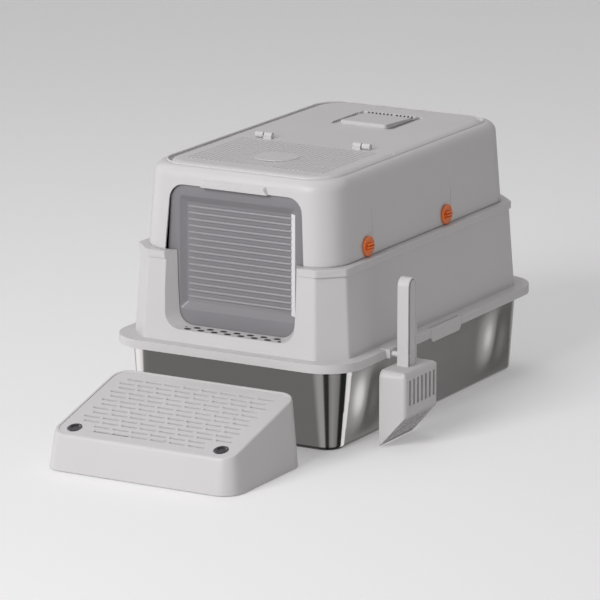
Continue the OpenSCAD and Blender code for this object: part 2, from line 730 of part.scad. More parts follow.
module lid_pin(s) {
    w = knuckle_w + knuckle_gap / 2;
    color("#b9babd") rod_x(s * hinge_x - w, s * hinge_x + w, hinge_pin_d, hinge_y, hinge_z);
}

// Roof filter: a cover that carries the carbon pad, over a basket fixed under the roof
cover_skirt = 14;
cover_rear = 1.2;                        // how far its rear edge stands above the roof
pad_top = -1.4;
// Points on the cover's sloping top, or drop below it
function on_cover(pts, drop) = [for (p = pts)
    [p[0], p[1], cover_rear + (cover_rise - cover_rear) * (0.5 - p[1] / cover_l) - drop]];
module filter_cover() {
    ww = well_w - 1;
    wl = well_l - 1;
    color(white) translate([0, filter_y, roof_z]) difference() {
        union() {
            loft([at_z(round_rect(cover_w / 2, cover_l / 2, 6), 0),
                on_cover(round_rect(cover_w / 2, cover_l / 2, 6), 1),
                on_cover(round_rect(cover_w / 2 - 0.5, cover_l / 2 - 0.5, 5.5), 0.3),
                on_cover(round_rect(cover_w / 2 - 1.6, cover_l / 2 - 1.6, 4.4), 0)]);
            block([-ww / 2, -wl / 2, -cover_skirt], [ww / 2, wl / 2, 0]);
        }
        block([2.4 - ww / 2, 2.4 - wl / 2, -cover_skirt - 1],
            [ww / 2 - 2.4, wl / 2 - 2.4, pad_top]);
    }
}
module carbon_filter() {
    pw = well_w - 1 - 4.8 - 0.4;
    pl = well_l - 1 - 4.8 - 0.4;
    color("#2b2b2d") translate([0, filter_y, roof_z])
        block([-pw / 2, -pl / 2, -cover_skirt + 1], [pw / 2, pl / 2, pad_top]);
}
module filter_basket() {
    x = vent_x + wall - 1;
    y0 = band_front - wall + 1;
    y1 = vent_back + wall - 1;
    z1 = band_z - wall;
    color("#c9c6c7") difference() {
        block([-x, y0, z1 - basket_h], [x, y1, z1]);
        block([2 - x, y0 + 2, z1 - basket_h + 2], [x - 2, y1 - 2, z1 + 1]);
        for (i = [-6:6]) for (y = [y0 + 8:26:y1 - 26])
            block([i * 8 - 2.4, y, z1 - basket_h - 1], [i * 8 + 2.4, y + 22, z1 - basket_h + 3]);
    }
}

// Scoop hook: a clip over the flange with a peg
peg_z = flange_z - 6;
peg_y = -scoop_y - 4;
peg_out = 40;
hook_t = 8;
hook_half = 13;
module scoop_hook() {
    color(white) {
        block([hx, -scoop_y - hook_half, peg_z - peg_d / 2 - 2],
            [hx + hook_t, -scoop_y + hook_half, flange_z + 2]);
        block([hx - 10, -scoop_y - hook_half, flange_z], [hx + 1, -scoop_y + hook_half, flange_z + 2]);
        rod_x(hx + 1, hx + peg_out, peg_d, peg_y, peg_z);
    }
}

// Scoop: a deep slotted blade, open towards the box, and an arch-topped channel handle
blade_x = hx + 12;
blade_back = blade_x + blade_d;
blade_top = flange_z - 22;
blade_fold = blade_top - 69;
blade_round = 12;
handle_x = blade_x + 9.5;
scoop_t = 2.5;
slot_n = 7;
blade_slot = 13;
groove_w = 5.5;                          // open groove beside the handle's inner bar
// Outline across the wall, from lip to shoulder, as [x, z]
module blade_profile(t) {
    r = blade_round - t;
    bx = blade_back - t;
    e = t > 0 ? 1 : 0;
    polygon(concat([[blade_x - e, tip_z + (t > 0 ? 1.35 * t : 0) - e * 1.17],
        [bx, blade_fold + (t > 0 ? 0.4 * t : 0)]],
        [for (k = [0:6]) [bx - r + r * cos(15 * k), blade_top - t - r + r * sin(15 * k)]],
        [[blade_x - e, blade_top - t]]));
}
// A rectangle from y -w to w and 0 to h with its two far corners rounded, as [y, h]
module arch(w, h, r) {
    translate([-w, 0]) square([2 * w, h - r]);
    translate([r - w, 0]) square([2 * (w - r), h]);
    for (s = [-1, 1]) translate([s * (w - r), h - r]) circle(r = r, $fn = 48);
}
// The blade is what the outlines from three sides have in common
module blade(t) {
    w = blade_w / 2 - t;
    intersection() {
        along_y(-scoop_y - w, -scoop_y + w) blade_profile(t);
        translate([blade_x - 2, -scoop_y, 0]) rotate([0, 0, -90])
            linear_extrude(blade_top + 2) arch(w, blade_d + 2 - t, blade_round - 3 - t);
        translate([blade_x - 2, -scoop_y, 0]) rotate([90, 0, 90])
            linear_extrude(blade_d + 4) arch(w, blade_top - t, blade_round - t);
    }
}
module along_y(y0, y1) {
    translate([0, y1, 0]) rotate([90, 0, 0]) linear_extrude(y1 - y0) children();
}
module scoop() {
    top = blade_top + handle_l;
    slope = atan((blade_fold - tip_z) / blade_d);
    run = blade_d / cos(slope);
    color(white) difference() {
        union() {
            difference() {
                blade(0);
                blade(scoop_t);
            }
            difference() {
                handle_bar(0, handle_x, handle_x + handle_d, top);
                difference() {
                    handle_bar(scoop_t, handle_x + scoop_t, handle_x + handle_d + 1, top);
                    handle_inner(handle_x, handle_x + handle_d - 1, top);
                }
            }
        }
        rod_x(handle_x - 1, handle_x + handle_d, peg_d + 0.8, peg_y, peg_z);
        for (i = [0:slot_n - 1]) let (y = -scoop_y + blade_slot * (i - (slot_n - 1) / 2)) {
            block([blade_back - 2 * scoop_t, y - 3, blade_fold + 15],
                [blade_back + 1, y + 3, blade_top - blade_round - 1]);
            translate([blade_x, y, tip_z]) rotate([0, -slope, 0])
                block([8, -3, -3], [run - 10, 3, 2 * scoop_t]);
        }
    }
}
// The handle's outline, run along X
module handle_bar(t, x0, x1, top) {
    r = handle_w / 2 - t;
    translate([x0, -scoop_y, 0]) rotate([90, 0, 90]) linear_extrude(x1 - x0) {
        translate([0, top - handle_w / 2]) circle(r = r, $fn = 48);
        translate([-r, blade_top - 1]) square([2 * r, top - handle_w / 2 - blade_top + 1]);
    }
}

// The bar in the handle's channel, against its rear wall
module handle_inner(x0, x1, top) {
    r = (handle_w - 1.5 * scoop_t - groove_w) / 2;
    y = -scoop_y + (handle_w - scoop_t) / 2 - r;
    translate([x0, y, 0]) rotate([90, 0, 90]) linear_extrude(x1 - x0) {
        translate([0, top - handle_w / 2]) circle(r = r, $fn = 48);
        translate([-r, blade_top - 1]) square([2 * r, top - handle_w / 2 - blade_top + 1]);
    }
}

// Step: a wedge-shaped tray, a slotted tread let into its rim, two plugs and four feet
step_front_y = -hy - step_gap - step_l;
step_mid_y = step_front_y + step_l / 2;
step_in = 8.2;
foot_out = 1;
step_slope = atan((step_rear - step_front) / (step_l - 2 * step_in));
tread_t = 3;
tread_sink = 1.2;
rim_in = step_in + 5.8;
ledge_in = rim_in + 5;
step_floor = 3;
function step_ring(inset) = [for (p = round_rect(step_w / 2 - inset, step_l / 2 - inset,
    step_r - 0.8 * inset)) [p[0] + step_x, p[1] + step_mid_y]];
// Height of the tread's plane at y
function tread_z(y) = step_front + (y - step_front_y - step_in) * tan(step_slope);
function on_tread(pts, drop) = [for (p = pts) [p[0], p[1], tread_z(p[1]) - drop]];
module step_base() {
    color(white) difference() {
        loft([at_z(step_ring(0.8), foot_out), at_z(step_ring(0), foot_out + 1),
            on_tread(step_ring(step_in - 0.4), 5), on_tread(step_ring(step_in + 0.8), 1.4),
            on_tread(step_ring(step_in + 3), 0)]);
        loft([on_tread(step_ring(rim_in), tread_t + tread_sink + flat_gap),
            on_tread(step_ring(rim_in), -1)]);
        loft([at_z(step_ring(wall + 2), foot_out + step_floor),
            on_tread(step_ring(ledge_in), tread_t + tread_sink + 6),
            on_tread(step_ring(ledge_in), tread_t + tread_sink - 1)]);
        for (p = foot_spots) translate([p[0], p[1], foot_out - 1])
            cylinder(h = 2.5, d = foot_d, $fn = 48);
    }
}
foot_d = 18;
foot_spots = [for (s = [-1, 1]) for (e = [-1, 1])
    [step_x + s * (step_w / 2 - 34), step_mid_y + e * (step_l / 2 - 34)]];
slot_l = 28.5;
slot_w = 5;
stagger = 3.65;                          // every other row of slots is shifted twice this
plug_x = 129.3;
plug_y = step_front_y + 34.5;
plug_d = 24;
rows = floor((step_l - 56) / row_pitch);
row_0 = step_front_y + 33.5;
// One slot with cut corners
module slot_2d() {
    a = slot_l / 2;
    b = slot_w / 2;
    polygon([[a - 1.4, -b], [a, -b + 1.4], [a, b - 1.4], [a - 1.4, b],
        [1.4 - a, b], [-a, b - 1.4], [-a, 1.4 - b], [1.4 - a, -b]]);
}
module step_grate() {
    color(white) difference() {
        loft([on_tread(step_ring(rim_in + flat_gap), tread_t + tread_sink),
            on_tread(step_ring(rim_in + flat_gap), tread_sink)]);
        for (j = [0:rows - 1]) let (n = j < 2 ? 6 : 8, off = (j % 2 == 0 ? 1 : -1) * stagger)
            for (i = [0:n - 1])
                translate([step_x + off + slot_pitch * (i - (n - 1) / 2), row_0 + row_pitch * j, 20])
                    linear_extrude(step_rear + 10) slot_2d();
        for (s = [-1, 1]) translate([step_x + s * plug_x, plug_y, 20])
            cylinder(h = step_rear + 10, d = plug_d, $fn = 48);
    }
}
module step_plugs() {
    z = tread_z(plug_y) - tread_sink;
    color("#4a484b") for (s = [-1, 1]) translate([step_x + s * plug_x, plug_y, z])
        rotate([step_slope, 0, 0]) difference() {
            translate([0, 0, -6]) cylinder(h = 6.6, d = plug_d - 1.6, $fn = 48);
            translate([0, 0, -3]) cylinder(h = 4, d = plug_d - 7, $fn = 48);
        }
}
module step_feet() {
    color("#5b595c") for (p = foot_spots) translate([p[0], p[1], 0])
        cylinder(h = foot_out + 1.5, d = foot_d, $fn = 48);
}

steel_pan();
surround();
hood();
roof_lid();
lid_pin(-1);  // lid_pin_left
lid_pin(1);  // lid_pin_right
door_flap();
door_rod();
knob(1, -knob_front);  // knob_front_right
knob(1, knob_rear);  // knob_rear_right
knob(-1, -knob_front);  // knob_front_left
knob(-1, knob_rear);  // knob_rear_left
cam(1, -knob_front);  // cam_front_right
cam(1, knob_rear);  // cam_rear_right
cam(-1, -knob_front);  // cam_front_left
cam(-1, knob_rear);  // cam_rear_left
latch(1);  // latch_right
latch(-1);  // latch_left
latch_pin(1);  // latch_pin_right
latch_pin(-1);  // latch_pin_left
filter_cover();
filter_basket();
carbon_filter();
scoop_hook();
scoop();
step_base();
step_grate();
step_plugs();
step_feet();
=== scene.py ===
"""Looks of the covered litter box: a finished piece and material for every part of its frame."""

import json
import math

import bmesh
import bpy
from mathutils import Matrix, Vector

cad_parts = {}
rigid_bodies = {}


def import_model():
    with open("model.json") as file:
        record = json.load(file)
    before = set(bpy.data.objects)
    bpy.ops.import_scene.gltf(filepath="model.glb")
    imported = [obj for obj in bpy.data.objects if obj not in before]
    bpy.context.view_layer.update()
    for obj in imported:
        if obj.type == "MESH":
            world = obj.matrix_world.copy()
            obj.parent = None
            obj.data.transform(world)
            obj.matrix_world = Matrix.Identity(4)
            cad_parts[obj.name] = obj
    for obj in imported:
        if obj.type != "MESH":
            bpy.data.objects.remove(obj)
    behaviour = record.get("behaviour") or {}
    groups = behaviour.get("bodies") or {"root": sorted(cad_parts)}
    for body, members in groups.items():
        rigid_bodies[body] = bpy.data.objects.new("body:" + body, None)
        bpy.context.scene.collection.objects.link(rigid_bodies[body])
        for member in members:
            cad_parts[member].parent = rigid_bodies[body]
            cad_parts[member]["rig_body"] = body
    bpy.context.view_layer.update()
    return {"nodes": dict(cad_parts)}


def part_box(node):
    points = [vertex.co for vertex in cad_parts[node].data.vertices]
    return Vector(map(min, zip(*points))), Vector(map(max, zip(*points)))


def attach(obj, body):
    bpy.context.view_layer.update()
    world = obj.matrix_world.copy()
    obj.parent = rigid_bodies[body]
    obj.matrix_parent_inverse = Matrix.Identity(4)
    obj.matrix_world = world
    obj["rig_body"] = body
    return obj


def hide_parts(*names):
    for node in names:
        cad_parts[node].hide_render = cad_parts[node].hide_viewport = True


bl_info = {
    "name": "Covered litter box",
    "version": (1, 0, 0),
    "blender": (4, 5, 0),
    "location": "3D View > Sidebar > Litter box",
    "description": "Builds the finished pieces of a covered litter box with a step and a scoop",
    "category": "Add Mesh",
}

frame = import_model()
MM = 0.001
SHARP = 32    # Degrees between two faces from which their edge counts as sharp
KNOB_PLACES = ("front_right", "rear_right", "front_left", "rear_left")


# Mesh helpers

def lowest(name):
    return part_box(name)[0]


def highest(name):
    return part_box(name)[1]


def body_of(node_name):
    return frame["nodes"][node_name]["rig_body"]


def shown(name, bm, node_name, finish_key, sharp=SHARP, flats=True):
    """Makes a finished piece from a mesh, in place; it moves with its node and has its slot."""
    for edge in bm.edges:
        edge.smooth = edge.calc_face_angle(0.0) < math.radians(sharp)
    for face in bm.faces:
        face.smooth = True
    mesh = bpy.data.meshes.new(name)
    bm.to_mesh(mesh)
    bm.free()
    for stale in ("custom_normal", "sharp_face"):
        if stale in mesh.attributes:
            mesh.attributes.remove(mesh.attributes[stale])
    mesh.materials.clear()
    mesh.materials.append(finish(finish_key))
    piece = bpy.data.objects.new(name, mesh)
    bpy.context.scene.collection.objects.link(piece)
    if flats:
        # Large flat walls keep straight highlights right up to their rounded corners
        weighted = piece.modifiers.new("flat_walls", "WEIGHTED_NORMAL")
        weighted.keep_sharp = True
    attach(piece, body_of(node_name))
    return piece


def merged(node_name):
    """A welded copy of a node's mesh, with its flat faces whole again."""
    bm = bmesh.new()
    bm.from_mesh(frame["nodes"][node_name].data)
    bmesh.ops.remove_doubles(bm, verts=bm.verts, dist=2e-6)
    bmesh.ops.dissolve_degenerate(bm, edges=bm.edges, dist=1e-6)
    bmesh.ops.dissolve_limit(bm, angle_limit=math.radians(0.3), verts=bm.verts, edges=bm.edges)
    return bm


def soften(bm, radius, crisp=None):
    """Rounds the sharp edges whose walls are wide enough by the radius that a moulding tool leaves;
    crisp is a box (low corner, high corner) whose edges stay as they are."""
    sharp = math.radians(SHARP)
    shortest, narrowest = 4 * radius, 2.5 * radius
    edges = [e for e in bm.edges
             if e.calc_face_angle(0.0) > sharp and e.calc_length() > shortest
             and all(f.calc_area() > narrowest * e.calc_length() for f in e.link_faces)]
    if crisp:
        lo, hi = crisp
        edges = [e for e in edges if not all(lo[k] < v.co[k] < hi[k] for v in e.verts for k in range(3))]
    bmesh.ops.bevel(bm, geom=edges, offset=radius, offset_type="OFFSET", affect="EDGES",
                    segments=2, profile=0.5, material=-1, clamp_overlap=False)


def dressed(node_name, finish_key, radius=None):
    """A finished copy of a node whose shape is right, with softened edges."""
    bm = merged(node_name)
    if radius is None:
        radius = bpy.context.scene.litter_box_sizes.edge
    if radius > 0:
        soften(bm, radius)
    piece = shown(node_name + "_moulded", bm, node_name, finish_key)
    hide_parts(node_name)
    return piece


def rounded_face(bm, half_x, half_y, radius, z, segments):
    """A flat face with round corners; returns its border edges."""
    made = bmesh.ops.create_grid(bm, x_segments=1, y_segments=1, size=1.0)
    bmesh.ops.scale(bm, verts=made["verts"], vec=(half_x, half_y, 1.0))
    bmesh.ops.translate(bm, verts=made["verts"], vec=(0.0, 0.0, z))
    bmesh.ops.bevel(bm, geom=made["verts"], offset=radius, offset_type="OFFSET",
                    affect="VERTICES", segments=segments, profile=0.5, material=-1)
    return [e for e in bm.edges if e.is_boundary]


def next_ring(bm, border, old, new):
    """Extrudes a rounded border to its next ring; old and new are (half x, half y, radius, z)."""
    grown = bmesh.ops.extrude_edge_only(bm, edges=border)["geom"]
    for vert in (g for g in grown if isinstance(g, bmesh.types.BMVert)):
        for axis in (0, 1):
            side = 1.0 if vert.co[axis] > 0 else -1.0
            turn = (side * vert.co[axis] - old[axis] + old[2]) / old[2]
            vert.co[axis] = side * (new[axis] - new[2] + new[2] * turn)
        vert.co.z = new[3]
    return [g for g in grown if isinstance(g, bmesh.types.BMEdge)]


def stack(bm, rings, segments):
    """A smooth sheet through a stack of rounded rings, closed at the first; returns its border."""
    border = rounded_face(bm, *rings[0], segments)
    for old, new in zip(rings, rings[1:]):
        border = next_ring(bm, border, old, new)
    return border


def lathe(bm, outline, steps=64):
    """Spins an outline of (radius, height) points, from the axis to the axis, about +Z."""
    verts = [bm.verts.new((r, 0.0, h)) for r, h in outline]
    edges = [bm.edges.new(pair) for pair in zip(verts, verts[1:])]
    bmesh.ops.spin(bm, geom=verts + edges, cent=(0, 0, 0), axis=(0, 0, 1), angle=2 * math.pi,
                   steps=steps, use_merge=True)
    bmesh.ops.remove_doubles(bm, verts=bm.verts, dist=1e-6)
    bmesh.ops.recalc_face_normals(bm, faces=bm.faces)


def cut_across(bm, place, normal):
    """Adds a line of edges where a plane cuts the mesh."""
    bmesh.ops.bisect_plane(bm, geom=bm.verts[:] + bm.edges[:] + bm.faces[:],
                           plane_co=place, plane_no=normal)


def bar(bm, lo, hi, radius, segments=3):
    """A bar between two corners with rounded edges; returns its vertices."""
    made = bmesh.ops.create_cube(bm, size=1.0)["verts"]
    bmesh.ops.scale(bm, verts=made, vec=Vector(hi) - Vector(lo))
    bmesh.ops.translate(bm, verts=made, vec=(Vector(hi) + Vector(lo)) / 2)
    edges = list({e for v in made for e in v.link_edges})
    rounded = bmesh.ops.bevel(bm, geom=edges, offset=radius, offset_type="OFFSET", affect="EDGES",
                              segments=segments, profile=0.5, material=-1, clamp_overlap=True)
    return list({*rounded["verts"], *(v for v in made if v.is_valid)})


# Materials

def linear(code):
    """An sRGB hex colour as linear red, green, blue and alpha."""
    parts = [int(code[i:i + 2], 16) / 255 for i in (1, 3, 5)]
    return [p / 12.92 if p <= 0.04045 else ((p + 0.055) / 1.055) ** 2.4 for p in parts] + [1.0]


def node(tree, kind, settings=(), inputs=()):
    """Adds one shader node; an input given as a socket is linked, any other is set."""
    new = tree.nodes.new(kind)
    for key, value in dict(settings).items():
        setattr(new, key, value)
    for key, value in dict(inputs).items():
        if isinstance(value, bpy.types.NodeSocket):
            tree.links.new(value, new.inputs[key])
        else:
            new.inputs[key].default_value = value
    return new


def begin(name):
    """An empty material: itself, its nodes, its shader and the place on the object in metres."""
    material = bpy.data.materials.new(name)
    material.use_nodes = True
    tree = material.node_tree
    tree.nodes.clear()
    surface = node(tree, "ShaderNodeBsdfPrincipled")
    node(tree, "ShaderNodeOutputMaterial", (), {"Surface": surface.outputs[0]})
    place = node(tree, "ShaderNodeTexCoord").outputs["Object"]
    return material, tree, surface, place


def tinted(tree, surface, amount, first, second):
    """Colours the surface between two linear colours, by the amount at each place."""
    tint = node(tree, "ShaderNodeMix", {"data_type": "RGBA"}, {0: amount, 6: first, 7: second})
    tree.links.new(tint.outputs[2], surface.inputs["Base Color"])


def bumped(tree, surface, height, strength, distance):
    """Tilts the surface's normals as a relief of this depth would."""
    bump = node(tree, "ShaderNodeBump", (), {"Height": height, "Strength": strength, "Distance": distance})
    tree.links.new(bump.outputs[0], surface.inputs["Normal"])


def uneven_gloss(tree, surface, amount, roughness, spread):
    """Varies the roughness both ways by the spread."""
    gloss = node(tree, "ShaderNodeMapRange", (),
                 {"Value": amount, "To Min": roughness - spread, "To Max": roughness + spread})
    tree.links.new(gloss.outputs[0], surface.inputs["Roughness"])


def moulded_plastic(name, colour, roughness, relief=0.05, drift=0.05):
    """Injection-moulded ABS from a spark-eroded tool: a soft even sheen, a fine pebble, and faint
    cloudy drift in the colour where the melt flowed."""
    material, tree, surface, place = begin(name)
    cloud = node(tree, "ShaderNodeTexNoise", (), {"Vector": place, "Scale": 9.0, "Detail": 2.0})
    light = linear(colour)
    dark = [c * (1.0 - drift) for c in light[:3]] + [1.0]
    tinted(tree, surface, cloud.outputs["Fac"], light, dark)
    # The pebble is drawn coarser than the real 0.1 mm so that it shows at all
    grain = 2.4 * MM
    pebble = node(tree, "ShaderNodeTexNoise", (), {"Vector": place, "Scale": 1.0 / grain, "Detail": 3.0})
    bumped(tree, surface, pebble.outputs["Fac"], relief, 0.2 * MM)
    uneven_gloss(tree, surface, pebble.outputs["Fac"], roughness, 0.05)
    surface.inputs["IOR"].default_value = 1.5
    return material


def stainless_sheet(name, colour, roughness):
    """Stainless sheet with a fine satin finish: streaks run along the drawn wall, and the press
    leaves slow waves that bend the reflections."""
    material, tree, surface, place = begin(name)
    surface.inputs["Metallic"].default_value = 1.0
    surface.inputs["Base Color"].default_value = linear(colour)
    # Brushing: about 1 mm across, long along the wall
    streaks = node(tree, "ShaderNodeMapping", (), {"Vector": place, "Scale": (14.0, 14.0, 900.0)})
    brushed = node(tree, "ShaderNodeTexNoise", (),
                   {"Vector": streaks.outputs[0], "Scale": 1.0, "Detail": 4.0})
    uneven_gloss(tree, surface, brushed.outputs["Fac"], roughness, 0.03)
    waves = node(tree, "ShaderNodeTexNoise", (), {"Vector": place, "Scale": 7.0, "Detail": 1.0})
    bumped(tree, surface, waves.outputs["Fac"], 0.06, 3 * MM)
    return material


def carbon_felt(name, colour):
    """Needled felt loaded with carbon: matt, nearly black, with a loose fibrous surface."""
    material, tree, surface, place = begin(name)
    fibres = node(tree, "ShaderNodeTexNoise", (), {"Vector": place, "Scale": 420.0, "Detail": 5.0})
    dark = linear(colour)
    worn = [c * 2.2 for c in dark[:3]] + [1.0]
    tinted(tree, surface, fibres.outputs["Fac"], dark, worn)
    bumped(tree, surface, fibres.outputs["Fac"], 0.7, 0.6 * MM)
    surface.inputs["Roughness"].default_value = 0.95
    return material


def pale_floor():
    """Seamless paper: matt and nearly white, lifted a little for the camera so its shadow stays soft."""
    material, tree, surface = begin("seamless_paper")[:3]
    surface.inputs["Base Color"].default_value = linear("#E6E5E6")
    surface.inputs["Roughness"].default_value = 0.9
    ray = node(tree, "ShaderNodeLightPath")
    lift = node(tree, "ShaderNodeMath", {"operation": "MULTIPLY"},
                {0: ray.outputs["Is Camera Ray"], 1: 0.24})
    surface.inputs["Emission Color"].default_value = linear("#F4F3F4")
    tree.links.new(lift.outputs[0], surface.inputs["Emission Strength"])
    return material


# What polished metal sees of the studio: its brightness by compass bearing in degrees from +X
STUDIO = (
    # Left soft box
    (-180, 1.7), (-156, 1.4),
    # Grey wall that the pan's front mirrors
    (-148, 0.34), (-124, 0.28), (-112, 0.28), (-106, 0.4),
    # Low bank in front
    (-92, 0.6), (-72, 0.6),
    # Black flag
    (-66, 0.06), (-50, 0.04),
    # Grey gap that the corner mirrors
    (-44, 0.40), (-30, 0.52), (-4, 0.34),
    # Black flag
    (3, 0.03), (29, 0.03),
    # Right soft box
    (33, 1.4), (57.5, 1.5),
    # Grey wall that the pan's right side mirrors, and the flag beside it
    (60, 0.46), (63.6, 0.48), (64.8, 0.14), (68, 0.14),
    # Rear wall, and the left soft box again
    (76, 0.4), (140, 0.4), (160, 1.5), (180, 1.7))


def studio_world():
    """An even grey room, white behind for the camera; metal sees the room's soft boxes and flags."""
    world = bpy.data.worlds.new("studio")
    world.use_nodes = True
    tree = world.node_tree
    tree.nodes.clear()
    ray = node(tree, "ShaderNodeLightPath")
    way = node(tree, "ShaderNodeSeparateXYZ", (),
               {0: node(tree, "ShaderNodeTexCoord").outputs["Generated"]})
    bearing = node(tree, "ShaderNodeMath", {"operation": "ARCTAN2"}, {0: way.outputs[1], 1: way.outputs[0]})
    turn = node(tree, "ShaderNodeMapRange", (),
                {"Value": bearing.outputs[0], "From Min": -math.pi, "From Max": math.pi})
    ring = node(tree, "ShaderNodeValToRGB", (), {"Fac": turn.outputs[0]})
    stops = ring.color_ramp.elements
    stops.remove(stops[-1])
    stops[0].color = [STUDIO[0][1]] * 3 + [1.0]
    for degrees, level in STUDIO[1:]:
        stops.new((degrees + 180) / 360).color = (level, level, level, 1.0)
    # Steeply below the pan's walls the room is dark, so that the bend at its foot is
    low = node(tree, "ShaderNodeMapRange", (), {"Value": way.outputs[2], "From Min": -0.72,
                                                "From Max": -0.45, "To Min": 0.1, "To Max": 1.0})
    room = node(tree, "ShaderNodeBackground", (),
                {"Color": ring.outputs["Color"], "Strength": low.outputs[0]})
    seen = node(tree, "ShaderNodeBackground", (), {"Color": linear("#F2F1F2"), "Strength": 1.0})
    even = node(tree, "ShaderNodeBackground", (), {"Color": linear("#FFFFFF"), "Strength": 0.285})
    metal = node(tree, "ShaderNodeMixShader", (),
                 {0: ray.outputs["Is Glossy Ray"], 1: even.outputs[0], 2: room.outputs[0]})
    mixed = node(tree, "ShaderNodeMixShader", (),
                 {0: ray.outputs["Is Camera Ray"], 1: metal.outputs[0], 2: seen.outputs[0]})
    node(tree, "ShaderNodeOutputWorld", (), {"Surface": mixed.outputs[0]})
    return world


FINISHES = {}


def finish(key):
    """Each finish is made once, from the colours in the sidebar."""
    if key not in FINISHES:
        look = bpy.context.scene.litter_box_colours
        FINISHES[key] = {
            "housing": lambda: moulded_plastic("pale_abs_moulded", look.housing, 0.42),
            "inner": lambda: moulded_plastic("pale_abs_inner", look.inner, 0.5),
            "door": lambda: moulded_plastic("smoke_grey_abs_moulded", look.door, 0.36,
                                            relief=0.01, drift=0.03),
            # The ribs' lighter grey is painted highlight on their crests; they are the door's own plastic
            "rib": lambda: moulded_plastic("smoke_grey_abs_ribs_painted_highlight", look.rib, 0.35, relief=0.0),
            # Near-white painted highlight for the slope beside the door's ribs
            "strip": lambda: moulded_plastic("pale_abs_painted_highlight", look.strip, 0.4, relief=0.0),
            "knob": lambda: moulded_plastic("orange_abs_moulded", look.knob, 0.38),
            "plug": lambda: moulded_plastic("dark_abs_glossy", look.plug, 0.12, relief=0.02),
            "foot": lambda: moulded_plastic("grey_rubber_moulded", look.foot, 0.75, relief=0.12),
            "steel": lambda: stainless_sheet("stainless_sheet_satin", look.steel, 0.12),
            "pin": lambda: stainless_sheet("stainless_wire_drawn", look.pin, 0.25),
            "slit": lambda: moulded_plastic("pale_abs_in_shade", look.slit, 0.7, relief=0.0),
            # Painted shade, for the vent's windows and the sill's slots
            "shade": lambda: moulded_plastic("painted_shade_dark_grey", look.shade, 0.8, relief=0.0),
            "carbon": lambda: carbon_felt("carbon_felt_needled", look.carbon),
        }[key]()
    return FINISHES[key]


# Sizes and colours that a user would change

def length(label, text, millimetres, low, high):
    return bpy.props.FloatProperty(name=label, description=text, default=millimetres * MM,
                                   min=low * MM, max=high * MM, unit="LENGTH", precision=4)


def colour_code(label, text, code):
    return bpy.props.StringProperty(name=label, description=text, default=code)


